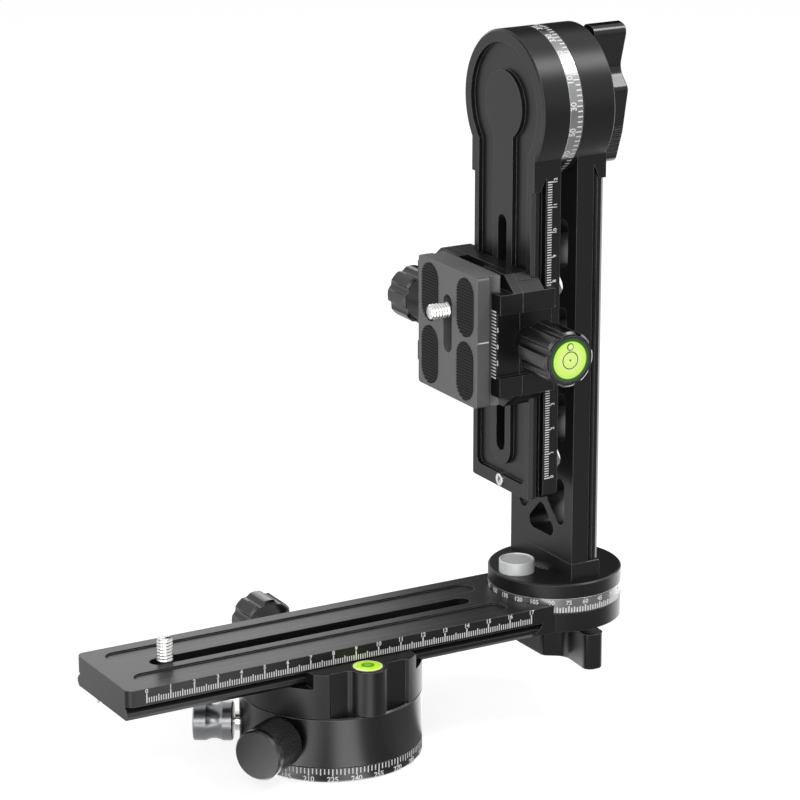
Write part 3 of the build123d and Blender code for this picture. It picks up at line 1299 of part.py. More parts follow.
def arm_clamp_jaw():
    """The near jaw, which the knob with the level pulls against the arm."""
    start = CLAMP_SEAM + RUN_GAP
    low, high = CLAMP_Z - CLAMP_END_HALF, CLAMP_Z + CLAMP_END_HALF
    lower = block(start, ARM_DECK, CLAMP_NEAR, -CLAMP_JAW_SPLIT, low, high)
    jaw = (lower + arm_grip(-1)) & clamp_envelope(start, CLAMP_BACK)
    jaw -= rod_y(ARM_SCREW_RADIUS + 0.2, CLAMP_NEAR - 1, 0, ARM_KNOB_X, CLAMP_Z)
    return jaw - jaw_guide_holes(ARM_CLAMP_GUIDE_X, -1)


def plate_clamp_jaw():
    """The far jaw, with a tail that its own clamp screw passes through."""
    end = CLAMP_SEAM - RUN_GAP
    low, high = CLAMP_Z - CLAMP_END_HALF, CLAMP_Z + CLAMP_END_HALF
    lower = block(PLATE_DECK, end, CLAMP_JAW_SPLIT, CLAMP_FAR, low, high)
    jaw = (lower + plate_grip(1)) & clamp_envelope(PLATE_LIP, end)
    tail_low, tail_high = CLAMP_Z - BOSS_HALF, CLAMP_Z + BOSS_HALF
    far = CLAMP_FAR - CLAMP_WAIST_DEPTH
    jaw += block(end - 1, BOSS_BACK, CLAMP_JAW_SPLIT, far, tail_low, tail_high)
    jaw -= rod_y(ARM_SCREW_RADIUS + 0.2, 0, CLAMP_FAR + 1, PLATE_KNOB_X, CLAMP_Z)
    return jaw - jaw_guide_holes(PLATE_CLAMP_GUIDE_X, 1)


NEAR_FACE = CLAMP_NEAR + CLAMP_WAIST_DEPTH
FAR_FACE = CLAMP_FAR - CLAMP_WAIST_DEPTH


def plate_knob_washer():
    end = FAR_FACE + WASHER_THICKNESS
    return tube_y(WASHER_RADIUS, ARM_SCREW_RADIUS + 0.2, FAR_FACE, end, PLATE_KNOB_X, CLAMP_Z)


PLATE_KNOB_START = FAR_FACE + WASHER_THICKNESS + RUN_GAP


def plate_clamp_knob():
    knob = Rot(-90, 0, 0) * clamp_knob(ARM_SCREW_RADIUS)
    return Pos(PLATE_KNOB_X, PLATE_KNOB_START, CLAMP_Z) * knob


def plate_clamp_screw():
    end = PLATE_KNOB_START + KNOB_HOLE_DEPTH - 0.1
    return rod_y(ARM_SCREW_RADIUS, CLAMP_THREAD_END, end, PLATE_KNOB_X, CLAMP_Z)


LEVEL_KNOB_END = LEVEL_KNOB_START - LEVEL_KNOB_LENGTH


def arm_clamp_knob():
    """The lobed knob with a socket for the level in its outer end."""
    grip = Rot(90, 0, 0) * lobed_head(LEVEL_KNOB_LENGTH)
    knob = Pos(ARM_KNOB_X, LEVEL_KNOB_START, CLAMP_Z) * grip
    neck_end = NEAR_FACE - RUN_GAP
    knob += rod_y(KNOB_NECK_RADIUS, LEVEL_KNOB_START - 1, neck_end, ARM_KNOB_X, CLAMP_Z)
    level_floor = LEVEL_KNOB_END + KNOB_LEVEL_DEPTH
    knob -= rod_y(KNOB_LEVEL_RADIUS, LEVEL_KNOB_END - 1, level_floor, ARM_KNOB_X, CLAMP_Z)
    screw_end = level_floor + 1.5
    return knob - rod_y(ARM_SCREW_RADIUS + SEAT_GAP, screw_end, NEAR_FACE, ARM_KNOB_X, CLAMP_Z)


def arm_clamp_screw():
    start = LEVEL_KNOB_END + KNOB_LEVEL_DEPTH + 1.6
    return rod_y(ARM_SCREW_RADIUS, start, -CLAMP_THREAD_END, ARM_KNOB_X, CLAMP_Z)


def knob_level_place(shape):
    facing_near = Plane(origin=(ARM_KNOB_X, LEVEL_KNOB_END - 0.3, CLAMP_Z), x_dir=(1, 0, 0), z_dir=(0, -1, 0))
    return facing_near.location * shape


# ---- Quick-release plate ---------------------------------------------------------------------
def pad_places():
    middle = (PLATE_BOTTOM + PLATE_TOP) / 2
    return [(y, middle + dz) for y in (-PAD_OFFSET, PAD_OFFSET) for dz in (-PAD_STEP / 2, PAD_STEP / 2)]


def pad_outline(y, z, shrink=0.0):
    length = PAD_LENGTH - 2 * shrink
    return upright_stadium(PAD_WIDTH - 2 * shrink, z - length / 2, z + length / 2, y)


def quick_plate():
    section = dovetail_outline(PLATE_BACK - PLATE_FRONT, PLATE_HALF, PLATE_FLANGE_TRIM)
    points = [(PLATE_BACK - depth, across) for across, depth in section]
    plate = prism_z(outline(points), PLATE_BOTTOM, PLATE_TOP)
    bounds = [
        (-PLATE_HALF, PLATE_BOTTOM),
        (PLATE_HALF, PLATE_BOTTOM),
        (PLATE_HALF, PLATE_TOP),
        (-PLATE_HALF, PLATE_TOP),
    ]
    plate = plate & prism_x(rounded(bounds, [PLATE_CORNER] * 4), PLATE_FRONT, PLATE_BACK)
    slot = upright_stadium(PLATE_SLOT_WIDTH, PLATE_SLOT_BOTTOM, PLATE_SLOT_TOP)
    plate -= prism_x(slot, PLATE_FRONT - 1, PLATE_BACK + 1)
    extra = (PLATE_SLOT_STEP_WIDTH - PLATE_SLOT_WIDTH) / 2
    step = upright_stadium(PLATE_SLOT_STEP_WIDTH, PLATE_SLOT_BOTTOM - extra, PLATE_SLOT_TOP + extra)
    plate -= prism_x(step, PLATE_BACK - PLATE_SLOT_STEP, PLATE_BACK + 1)
    for y, z in pad_places():
        plate -= prism_x(pad_outline(y, z), PLATE_FRONT - 1, PLATE_FRONT + PAD_POCKET)
    return plate


def plate_pads():
    """Four rubber pads, each with ribs across it."""
    pads = []
    front = PLATE_FRONT - PAD_PROUD
    pitch = PAD_LENGTH / PAD_RIBS
    for y, z in pad_places():
        pad = prism_x(pad_outline(y, z, SEAT_GAP), front, PLATE_FRONT + PAD_POCKET)
        for index in range(PAD_RIBS):
            valley = z - PAD_LENGTH / 2 + (index + 0.5) * pitch
            pad -= block(front - 1, front + PAD_PROUD, y - PAD_WIDTH, y + PAD_WIDTH,
                         valley - pitch / 4, valley + pitch / 4)
        pads.append(pad)
    return Compound(pads)


def plate_camera_screw():
    seat = PLATE_BACK - PLATE_SLOT_STEP + RUN_GAP
    facing = Plane(origin=(seat, 0, PLATE_STUD_Z), x_dir=(0, 1, 0), z_dir=(-1, 0, 0))
    return facing.location * camera_screw(seat - PLATE_STUD_FRONT, seat - PLATE_FRONT + STUD_NECK_CLEAR)


# ---- All pieces ------------------------------------------------------------------------------
PIECES = {
    "base_plate": base_plate,
    "thread_bush": thread_bush,
    "pan_spindle": pan_spindle,
    "base_screws": base_screws,
    "spindle_retainer": spindle_retainer,
    "pan_housing": pan_housing,
    "pan_bush": pan_bush,
    "pan_washer": pan_washer,
    "index_sleeve": index_sleeve,
    "index_pin": index_pin,
    "index_spring": index_spring,
    "index_knob": index_knob,
    "pan_lock_knob": pan_lock_knob,
    "pan_lock_screw": pan_lock_screw,
    "pan_brake_shoe": pan_brake_shoe,
    "base_clamp_body": base_clamp_body,
    "base_clamp_bolts": base_clamp_bolts,
    "base_clamp_jaw": base_clamp_jaw,
    "base_guide_pins": base_guide_pins,
    "base_clamp_washer": base_clamp_washer,
    "base_clamp_screw": base_clamp_screw,
    "base_clamp_knob": base_clamp_knob,
    "base_level_case": lambda: base_level_place(level_case(BASE_LEVEL_RADIUS, BASE_LEVEL_DEPTH)),
    "base_level_vial": lambda: base_level_place(level_vial(BASE_LEVEL_RADIUS, BASE_LEVEL_DEPTH)),
    "rail": rail,
    "rail_stop_pin": rail_stop_pin,
    "rail_stud": rail_stud,
    "swivel_bush": swivel_bush,
    "swivel_disc": swivel_disc,
    "swivel_scale_ring": swivel_scale_ring,
    "swivel_bolt": swivel_bolt,
    "swivel_knob": swivel_knob,
    "swivel_button": swivel_button,
    "button_spring": button_spring,
    "foot_block": foot_block,
    "foot_screws": foot_screws,
    "upright": upright,
    "tilt_bush": tilt_bush,
    "tilt_knob": tilt_knob,
    "swing_arm": swing_arm,
    "tilt_scale_ring": tilt_scale_ring,
    "tilt_bolt": tilt_bolt,
    "arm_stop_screw": arm_stop_screw,
    "plate_clamp_body": plate_clamp_body,
    "arm_clamp_sleeve": arm_clamp_sleeve,
    "core_screws": core_screws,
    "clamp_guide_pins": clamp_guide_pins,
    "arm_clamp_jaw": arm_clamp_jaw,
    "plate_clamp_jaw": plate_clamp_jaw,
    "plate_knob_washer": plate_knob_washer,
    "plate_clamp_knob": plate_clamp_knob,
    "plate_clamp_screw": plate_clamp_screw,
    "arm_clamp_knob": arm_clamp_knob,
    "arm_clamp_screw": arm_clamp_screw,
    "knob_level_case": lambda: knob_level_place(level_case(KNOB_LEVEL_RADIUS, KNOB_LEVEL_DEPTH)),
    "knob_level_vial": lambda: knob_level_place(level_vial(KNOB_LEVEL_RADIUS, KNOB_LEVEL_DEPTH)),
    "quick_plate": quick_plate,
    "plate_pads": plate_pads,
    "plate_camera_screw": plate_camera_screw,
}


def main():
    os.makedirs("parts", exist_ok=True)
    for name, make in PIECES.items():
        export_step(make(), f"parts/{name}.step")


main()
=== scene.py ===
# %% [markdown]
# # A panoramic tripod head, dressed for its picture
# The metal body comes ready-made from CAD: every plate, knob and screw is already the right
# shape and in the right place. Blender adds what CAD leaves out: anodised and turned finishes,
# engraved scales with their numbers, screw threads and the liquid in the spirit levels.
# All lengths are written in millimetres and turned into metres by one factor.

# %% Load the frame
import bpy
import math
from mathutils import Matrix, Vector


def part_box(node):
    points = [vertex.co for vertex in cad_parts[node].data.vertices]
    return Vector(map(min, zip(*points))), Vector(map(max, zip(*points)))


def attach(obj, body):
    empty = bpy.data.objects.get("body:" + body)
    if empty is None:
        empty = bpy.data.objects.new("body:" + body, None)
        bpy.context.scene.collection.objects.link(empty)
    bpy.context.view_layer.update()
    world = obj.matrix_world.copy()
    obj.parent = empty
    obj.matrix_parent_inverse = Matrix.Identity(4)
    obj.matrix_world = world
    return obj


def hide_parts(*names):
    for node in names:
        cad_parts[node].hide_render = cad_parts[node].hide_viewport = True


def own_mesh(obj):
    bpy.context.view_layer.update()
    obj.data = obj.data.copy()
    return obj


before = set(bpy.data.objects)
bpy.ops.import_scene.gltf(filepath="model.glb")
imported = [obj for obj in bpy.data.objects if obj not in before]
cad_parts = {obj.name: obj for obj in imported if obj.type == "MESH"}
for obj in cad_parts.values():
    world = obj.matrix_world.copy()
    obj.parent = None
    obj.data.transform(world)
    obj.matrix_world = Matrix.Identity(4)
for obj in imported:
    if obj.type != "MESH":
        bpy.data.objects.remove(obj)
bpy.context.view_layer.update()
MM = 0.001


# %% [markdown]
# ## Small tools
# An operator works on whatever is selected, so each piece starts from an empty selection.
# A finished piece has its place in its mesh, with its object at the origin, as the CAD nodes have.

# %% Selecting, finishing and joining
def only(*objects):
    """Selects these objects alone; the first is the active one."""
    bpy.ops.object.select_all(action="DESELECT")
    for item in objects:
        item.select_set(True)
    bpy.context.view_layer.objects.active = objects[0]


def settle(piece):
    """Puts the object's place, turn and size into its mesh."""
    only(piece)
    bpy.ops.object.transform_apply(location=True, rotation=True, scale=True)
    return piece


def joined(pieces, name):
    only(*pieces)
    if len(pieces) > 1:
        bpy.ops.object.join()
    piece = bpy.context.view_layer.objects.active
    piece.name = name
    return settle(piece)


def with_modifier(piece, kind, **settings):
    """Adds a modifier, sets it and applies it at once."""
    only(piece)
    modifier = piece.modifiers.new(kind.title(), kind)
    for key, value in settings.items():
        setattr(modifier, key, value)
    bpy.ops.object.modifier_apply(modifier=modifier.name)
    return piece


# %% [markdown]
# ## Camera
# The photograph looks down a little on the head from its left front corner, through a long lens,
# so the rail and the arm hardly converge. The three vectors are the camera's right, up and back.

# %% Camera
CAMERA_RIGHT = (0.8680, -0.4966, 0.0)
CAMERA_UP = (0.1447, 0.2529, 0.9566)
CAMERA_BACK = (-0.47508, -0.83030, 0.29137)
CAMERA_PLACE = (-616.9, -1133.5, 537.2)     # mm
SENSOR_WIDTH, LENS = 36.0, 157.4            # mm


def make_camera():
    data = bpy.data.cameras.new("camera")
    data.sensor_width = SENSOR_WIDTH
    data.lens = LENS
    data.clip_start, data.clip_end = 0.01, 20.0
    camera = bpy.data.objects.new("camera", data)
    bpy.context.collection.objects.link(camera)
    turn = Matrix((CAMERA_RIGHT, CAMERA_UP, CAMERA_BACK)).transposed().to_4x4()
    camera.matrix_world = Matrix.Translation(Vector(CAMERA_PLACE) * MM) @ turn
    bpy.context.scene.camera = camera
    return camera


camera = make_camera()
print("camera", [round(value, 3) for value in camera.location])


# %% [markdown]
# ## Colours and nodes
# Colours are noted as on a paint card, in sRGB hex, and one function turns them into the linear
# values that the renderer works in. A second function adds any shader node with its settings.

# %% Colour and node helpers
def linear(hex_colour, alpha=1.0):
    """An sRGB colour such as "#a8a8a8" as the linear values of red, green, blue and alpha."""
    channels = [int(hex_colour[i:i + 2], 16) / 255 for i in (1, 3, 5)]
    return tuple(c / 12.92 if c <= 0.04045 else ((c + 0.055) / 1.055) ** 2.4
                 for c in channels) + (alpha,)


def add_node(tree, kind, inputs=(), **settings):
    """Adds a node; settings are its attributes, inputs its values or the sockets that feed it."""
    node = tree.nodes.new(kind)
    for key, value in settings.items():
        setattr(node, key, value)
    for key, value in dict(inputs).items():
        if isinstance(value, bpy.types.NodeSocket):
            tree.links.new(value, node.inputs[key])
        else:
            node.inputs[key].default_value = value
    return node


def new_material(name):
    material = bpy.data.materials.new(name)
    material.use_nodes = True
    tree = material.node_tree
    tree.nodes.clear()
    shader = add_node(tree, "ShaderNodeBsdfPrincipled")
    add_node(tree, "ShaderNodeOutputMaterial", {"Surface": shader.outputs["BSDF"]})
    place = add_node(tree, "ShaderNodeTexCoord").outputs["Object"]
    return material, tree, shader, place


# %% [markdown]
# ## Metal finishes
# Anodised aluminium is blasted with fine beads first, which leaves tiny pits, then dyed black.
# The pits, about 0.1 mm, are too fine to show, so the grain is drawn at about 0.4 mm.
# A turned part has fine grooves round its axis instead, so its grain is stretched along them.
# Sharp edges of a machined part are broken by a hair, and catch the light as thin pale lines: a
# bevel node rounds the shading there, and where it differs from the flat face a pale colour is
# painted in, a painted highlight.

# %% Grain, edges and base for a metal
# How alike the rounded and the flat normal are, from 1 down, where the painted edge highlight
# starts and is full
EDGE_STARTS, EDGE_FULL = 0.98, 0.75
BUMP_STRENGTH = 0.35


def mixed(tree, share, first, second):
    """A mix of two colours; a colour Mix has its sockets at places 6 and 7 and its result at 2."""
    node = add_node(tree, "ShaderNodeMix", {0: share, 6: first, 7: second}, data_type="RGBA")
    return node.outputs[2]


def metal(name, dark, pale, roughness, metallic=0.0, specular=0.5, grain=0.4, depth=0.02,
          stretch=(1, 1, 1), edge="#9c9c9e", edge_width=0.30, edge_share=0.75):
    """A metal with a fine grain of two near colours, a bump from it, and painted pale highlights on
    its edges.

    grain, depth and edge_width are in mm.
    """
    material, tree, shader, place = new_material(name)
    stretched = add_node(tree, "ShaderNodeMapping", {"Vector": place, "Scale": stretch})
    speckle = add_node(tree, "ShaderNodeTexNoise", {"Vector": stretched.outputs["Vector"],
                                                    "Scale": 1 / (grain * MM), "Detail": 3.0})
    tone = mixed(tree, speckle.outputs["Fac"], linear(dark), linear(pale))
    rounded = add_node(tree, "ShaderNodeBevel", {"Radius": edge_width * MM}, samples=4)
    flat = add_node(tree, "ShaderNodeNewGeometry").outputs["True Normal"]
    alike = add_node(tree, "ShaderNodeVectorMath", {0: rounded.outputs["Normal"], 1: flat},
                     operation="DOT_PRODUCT")
    edge_highlight_mask = add_node(tree, "ShaderNodeMapRange", {"Value": alike.outputs["Value"],
                                                 "From Min": EDGE_STARTS, "From Max": EDGE_FULL,
                                                 "To Min": 0.0, "To Max": edge_share})
    # painted highlight: the edges take the pale edge colour, up to edge_share of it
    painted_edge_highlight = mixed(tree, edge_highlight_mask.outputs["Result"], tone, linear(edge))
    tree.links.new(painted_edge_highlight, shader.inputs["Base Color"])
    bump = add_node(tree, "ShaderNodeBump", {"Height": speckle.outputs["Fac"],
                                             "Distance": depth * MM, "Strength": BUMP_STRENGTH,
                                             "Normal": rounded.outputs["Normal"]})
    tree.links.new(bump.outputs["Normal"], shader.inputs["Normal"])
    shader.inputs["Roughness"].default_value = roughness
    shader.inputs["Metallic"].default_value = metallic
    shader.inputs["Specular IOR Level"].default_value = specular
    return material


# %% The finishes
# The grain is drawn out 25 times round the axis of a turned part.
AROUND_Z, AROUND_X = (0.04, 0.04, 1.0), (1.0, 0.04, 0.04)
finishes = {
    # blasted aluminium dyed black: a dull, even black with soft highlights
    "black_anodised": metal("blasted_black_anodised_aluminium", "#0d0d0e", "#131314", 0.36,
                            specular=0.33),
    # the quick-release plate is blasted coarser, and its face looks dark grey
    "grey_anodised": metal("coarse_blasted_anodised_aluminium", "#585859", "#636364", 0.42,
                           specular=0.5, depth=0.03, edge="#b0b0b2"),
    # turned aluminium, smooth before it was dyed: a deep black with clear highlights
    "gloss_black": metal("smooth_black_anodised_aluminium", "#070708", "#0b0b0c", 0.22,
                         specular=0.45, grain=0.8, depth=0.006, edge="#a4a4a6"),
    # the same, with the fine grooves of the lathe round the upright axis
    "turned_black": metal("turned_black_anodised_aluminium", "#070708", "#101011", 0.27,
                          specular=0.5, grain=0.3, depth=0.012, stretch=AROUND_Z,
                          edge="#a4a4a6"),
    # the same with straight knurling; its ridges are narrow, so their edges are rounded less
    "knurled_black": metal("knurled_black_anodised_aluminium", "#070708", "#0d0d0e", 0.28,
                           specular=0.5, grain=0.8, depth=0.006, edge="#b8b8ba",
                           edge_width=0.06, edge_share=0.9),
    # the button's cap: silver, blasted to a pale matt surface
    "pale_silver": metal("blasted_silver_aluminium", "#dfe1e0", "#e8eae9", 0.42,
                         metallic=0.2, grain=0.5, depth=0.01, edge="#f0f0ee"),
    # clear-anodised aluminium, satin
    "satin_silver": metal("satin_silver_anodised_aluminium", "#808183", "#8e8f91", 0.30,
                          metallic=1.0, grain=0.5, depth=0.006, edge="#e8e8e8"),
    # the scale rings: silver aluminium turned with fine grooves
    "ring_upright": metal("turned_silver_ring_round_z", "#7e7f80", "#929394", 0.28,
                          metallic=1.0, grain=0.3, depth=0.01, stretch=AROUND_Z,
                          edge="#e8e8e8"),
    "ring_level": metal("turned_silver_ring_round_x", "#8e8f90", "#a2a3a4", 0.28,
                        metallic=1.0, grain=0.3, depth=0.01, stretch=AROUND_X,
                        edge="#e8e8e8"),
    # bright turned steel
    "steel": metal("turned_steel", "#d2d2d0", "#dededc", 0.24, metallic=1.0, grain=0.6,
                   depth=0.004, edge="#f4f4f2"),
    # steel blackened by hot oxide
    "black_steel": metal("black_oxide_steel", "#202022", "#2a2a2c", 0.34, metallic=0.6,
                         grain=0.5, depth=0.01),
    # sintered bronze, a warm dull metal with pores
    "bronze": metal("sintered_bronze", "#8a6a3c", "#a9824c", 0.42, metallic=1.0,
                    grain=0.35, depth=0.03, edge="#d0ac70"),
    # slippery white plastic of a washer
    "ptfe": metal("white_ptfe", "#dedcd6", "#e8e6e0", 0.45, grain=0.8, depth=0.004,
                  edge="#f2f0ec"),
    # moulded black plastic
    "black_plastic": metal("moulded_black_plastic", "#101010", "#161616", 0.42, grain=0.5,
                           depth=0.02),
    # black rubber: no shine, slightly dusty
    "rubber": metal("black_rubber", "#141414", "#1b1b1b", 0.70, specular=0.3, grain=0.5,
                    depth=0.03, edge="#303030"),
}
print("finishes", len(finishes))


# %% [markdown]
# ## Spirit levels
# A round level is a clear cap over a fluorescent yellow-green liquid. Under the cap lies a pale
# disc with a black ring mark that the bubble is brought into, and outside it the thick rim of the
# cap shows as dark green. All of this is round, so one ramp over the distance from the middle
# draws it: the Mapping node brings the middle to zero and the rim to one.
# The dye is fluorescent; the liquid is given a small painted glow, the same under any lamp, so that
# it reads bright.

# %% Level glass
def level_glass(name, middle, radius, rings, upright):
    """rings are (distance in mm, colour) from the middle out.

    An upright level faces along Y, a flat one along Z.
    """
    material, tree, shader, place = new_material(name)
    size = 1 / (radius * MM)
    scale = (size, 0, size) if upright else (size, size, 0)
    shift = [-m * MM * s for m, s in zip(middle, scale)]
    centred = add_node(tree, "ShaderNodeMapping", {"Vector": place, "Scale": scale,
                                                   "Location": shift})
    away = add_node(tree, "ShaderNodeVectorMath", {0: centred.outputs["Vector"]},
                    operation="LENGTH")
    ramp = add_node(tree, "ShaderNodeValToRGB", {"Fac": away.outputs["Value"]})
    points = ramp.color_ramp.elements
    points[0].position, points[0].color = rings[0][0] / radius, linear(rings[0][1])
    points[1].position, points[1].color = rings[-1][0] / radius, linear(rings[-1][1])
    for distance, colour in rings[1:-1]:
        points.new(distance / radius).color = linear(colour)
    tree.links.new(ramp.outputs["Color"], shader.inputs["Base Color"])
    # painted glow: the ring colours also shine a little of their own
    tree.links.new(ramp.outputs["Color"], shader.inputs["Emission Color"])
    shader.inputs["Emission Strength"].default_value = 0.30
    shader.inputs["Roughness"].default_value = 0.25
    shader.inputs["Coat Weight"].default_value = 0.7
    shader.inputs["Coat Roughness"].default_value = 0.03
    return material


KNOB_LEVEL, BASE_LEVEL = (74.9, 0, 163.2), (0, -30.2, 0)
KNOB_LEVEL_RADIUS, BASE_LEVEL_RADIUS = 8.7, 5.8
KNOB_LEVEL_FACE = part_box("knob_level_vial")[0][1] / MM
knob_rings = [(0.35, "#4c6a20"), (0.55, "#d9f08a"), (3.1, "#d3ef7c"), (3.2, "#1d3a08"),
              (3.48, "#1d3a08"), (3.6, "#d8f28c"), (6.2, "#cdf06a"), (7.1, "#c0f050"),
              (7.35, "#9ad83a"), (7.5, "#16380a"), (8.2, "#1f5410"),
              (KNOB_LEVEL_RADIUS, "#0d2606")]
base_rings = [(0.0, "#6fb010"), (1.1, "#8fcf18"), (1.5, "#4f9a0a"), (2.3, "#5aa80c"),
              (2.9, "#bdf024"), (4.8, "#c8f43a"), (5.3, "#dcf890"),
              (BASE_LEVEL_RADIUS, "#dcf890")]
finishes["knob_level"] = level_glass("green_level_glass_of_knob", KNOB_LEVEL,
                                     KNOB_LEVEL_RADIUS, knob_rings, True)
finishes["base_level"] = level_glass("green_level_glass_of_base", BASE_LEVEL,
                                     BASE_LEVEL_RADIUS, base_rings, False)
print("level face at", round(KNOB_LEVEL_FACE, 2), "mm")


# %% [markdown]
# ## Every CAD node gets its finish
# Each node comes with a material slot named after its finish. A few nodes look different from the
# others with that finish, and are named here.

# %% Assign finishes
special = {"quick_plate": "grey_anodised", "pan_housing": "turned_black",
           "base_plate": "turned_black", "pan_lock_knob": "knurled_black",
           "swivel_button": "pale_silver",
           "swivel_scale_ring": "ring_upright", "tilt_scale_ring": "ring_level",
           "knob_level_vial": "knob_level", "base_level_vial": "base_level"}

for node_name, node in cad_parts.items():
    slot = node.material_slots[0].material.name.split(".")[0]
    finish = finishes.get(special.get(node_name, slot), finishes["black_anodised"])
    for holder in node.material_slots:
        holder.material = finish
print("dressed", len(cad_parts), "nodes,", len(special), "of them by name")


# %% [markdown]
# ## Studio
# The head stands on a white sweep, which is white to the camera, takes the shadow, and is bright
# in patches to reflections. Five soft lights do the rest: a broad one by the camera, a small bright
# one high on the right, a strip on each side for the round parts, and a faint one behind.
# A black flag stands behind on the right, seen in reflections alone: the tops of the rail and the
# disc mirror it, and go darker towards their right end.

# %% Floor and background
FLOOR_SIZE, FLOOR_DROP = 12.0, 0.0002       # m; the drop keeps the floor clear of the base's foot
FLOOR_TO_EYE, FLOOR_TO_GLOSS = 0.80, 3.8
WORLD_LIGHT = 0.40
FLOOR_ENDS = 0.10
# How bright the floor is to reflections: (share of one turn, level), between the two ends.
FLOOR_PATCHES = ((0.025, 0.08), (0.055, 0.55), (0.085, 1.0), (0.115, 0.55), (0.16, 0.12),
                 (0.20, 0.85), (0.23, 0.85), (0.26, 0.08), (0.30, 0.02), (0.36, 0.06),
                 (0.46, 0.02), (0.49, 0.55), (0.55, 0.75), (0.60, 0.1), (0.75, 0.14),
                 (0.85, 0.26))


def calculated(tree, operation, first, second):
    """The result of one Math node; each input is a value or the socket that feeds it."""
    return add_node(tree, "ShaderNodeMath", {0: first, 1: second}, operation=operation).outputs[0]


def background_strength(tree, to_eye, to_gloss):
    """How bright the background is for what looks straight at it, and for what mirrors it."""
    ray = add_node(tree, "ShaderNodeLightPath")
    mirrored = calculated(tree, "MAXIMUM", ray.outputs["Is Glossy Ray"],
                          ray.outputs["Is Transmission Ray"])
    gloss = calculated(tree, "MULTIPLY", mirrored, to_gloss)
    eye = calculated(tree, "MULTIPLY", ray.outputs["Is Camera Ray"], to_eye)
    return calculated(tree, "ADD", gloss, eye)


def make_floor():
    bpy.ops.object.select_all(action="DESELECT")
    bpy.ops.mesh.primitive_plane_add(size=FLOOR_SIZE, location=(0, 0, -FLOOR_DROP))
    floor = settle(bpy.context.active_object)
    floor.name = "studio_floor"
    material = bpy.data.materials.new("white_paper")
    material.use_nodes = True
    tree = material.node_tree
    tree.nodes.clear()
    paper = add_node(tree, "ShaderNodeBsdfDiffuse", {"Color": linear("#a8a8a8")})
    # To reflections the paper is bright in patches round the head, for the highlights of the round
    # parts: one turn goes from -X by way of -Y, +X and +Y back to -X.
    place = add_node(tree, "ShaderNodeTexCoord").outputs["Object"]
    turn = add_node(tree, "ShaderNodeTexGradient", {"Vector": place}, gradient_type="RADIAL")
    ramp = add_node(tree, "ShaderNodeValToRGB", {"Fac": turn.outputs["Fac"]})
    ramp.color_ramp.interpolation = "EASE"
    points = ramp.color_ramp.elements
    points[0].color = points[1].color = (FLOOR_ENDS, FLOOR_ENDS, FLOOR_ENDS, 1)
    for position, level in FLOOR_PATCHES:
        points.new(position).color = (level, level, level, 1)
    patches = calculated(tree, "MULTIPLY", ramp.outputs["Color"], FLOOR_TO_GLOSS)
    strength = background_strength(tree, FLOOR_TO_EYE, patches)
    glow = add_node(tree, "ShaderNodeEmission", {"Color": (1, 1, 1, 1), "Strength": strength})
    both = add_node(tree, "ShaderNodeAddShader", {0: paper.outputs[0], 1: glow.outputs[0]})
    add_node(tree, "ShaderNodeOutputMaterial", {"Surface": both.outputs[0]})
    floor.data.materials.append(material)


def make_world(diffuse):
    world = bpy.data.worlds.new("studio")
    bpy.context.scene.world = world
    world.use_nodes = True
    tree = world.node_tree
    tree.nodes.clear()
    seen = background_strength(tree, 1 - diffuse, 1 - diffuse)
    strength = calculated(tree, "ADD", seen, diffuse)
    sky = add_node(tree, "ShaderNodeBackground", {"Color": (1, 1, 1, 1), "Strength": strength})
    add_node(tree, "ShaderNodeOutputWorld", {"Surface": sky.outputs[0]})


make_floor()
make_world(WORLD_LIGHT)
bpy.context.scene.view_settings.view_transform = "Standard"
print("floor patches", len(FLOOR_PATCHES))


# %% Lamps and flag
def softbox(name, place, aim, wide, high, level):
    """An area lamp aimed at a point; level 1 alone lights a facing white sheet there to white."""
    data = bpy.data.lights.new(name, "AREA")
    data.shape = "RECTANGLE"
    data.size, data.size_y = wide, high
    away = Vector(aim) - Vector(place)
    data.energy = level * math.pi ** 2 * away.length_squared
    lamp = bpy.data.objects.new(name, data)
    bpy.context.collection.objects.link(lamp)
    lamp.location = place
    lamp.rotation_euler = away.to_track_quat("-Z", "Y").to_euler()
    lamp.visible_camera = False


def flag(name, low, high, y):
    """A black sheet across Y that only reflections see."""
    bpy.ops.object.select_all(action="DESELECT")
    bpy.ops.mesh.primitive_plane_add(size=1.0, rotation=(math.pi / 2, 0, 0),
                                     location=((low[0] + high[0]) / 2, y, (low[1] + high[1]) / 2),
                                     scale=(high[0] - low[0], high[1] - low[1], 1))
    sheet = settle(bpy.context.active_object)
    sheet.name = name
    velvet = metal("black_velvet", "#030303", "#050505", 1.0, specular=0.0, depth=0.0)
    sheet.data.materials.append(velvet)
    for kind in ("camera", "diffuse", "shadow", "transmission", "volume_scatter"):
        setattr(sheet, "visible_" + kind, False)


middle = (0.03, 0.0, 0.15)
softbox("front_soft", (-0.9, -1.3, 0.95), middle, 1.1, 1.1, 0.44)
softbox("key", (0.72, -0.42, 1.15), middle, 0.36, 0.36, 0.34)
softbox("left_strip", (-1.15, -0.1, 0.45), middle, 0.30, 1.0, 0.22)
softbox("right_strip", (1.15, 0.05, 0.45), middle, 0.22, 1.0, 0.18)
softbox("back_soft", (0.44, 1.15, 0.42), (-0.1, 0.0, 0.05), 0.40, 0.45, 0.06)
flag("back_flag", (0.16, 0.0), (1.5, 0.9), 0.55)
print("lamps", len(bpy.data.lights))


# %% [markdown]
# ## Engraved scales
# The marks are cut into the metal and filled with white. Each one is a sliver standing 0.03 mm
# out of the surface, so that it shows without a seam. One mark is modelled and an array
# modifier repeats it along the ruler or round the ring.

# %% White fill
engraving_white = metal("white_engraving_fill", "#f2f2f0", "#fafaf8", 0.6, specular=0.3,
                        grain=0.3, depth=0.0, edge="#ffffff", edge_share=0.0)
PROUD = 0.03            # mm that a mark stands out of the surface
DIGIT_SHARE = 0.70      # a digit's height as a share of the font's size


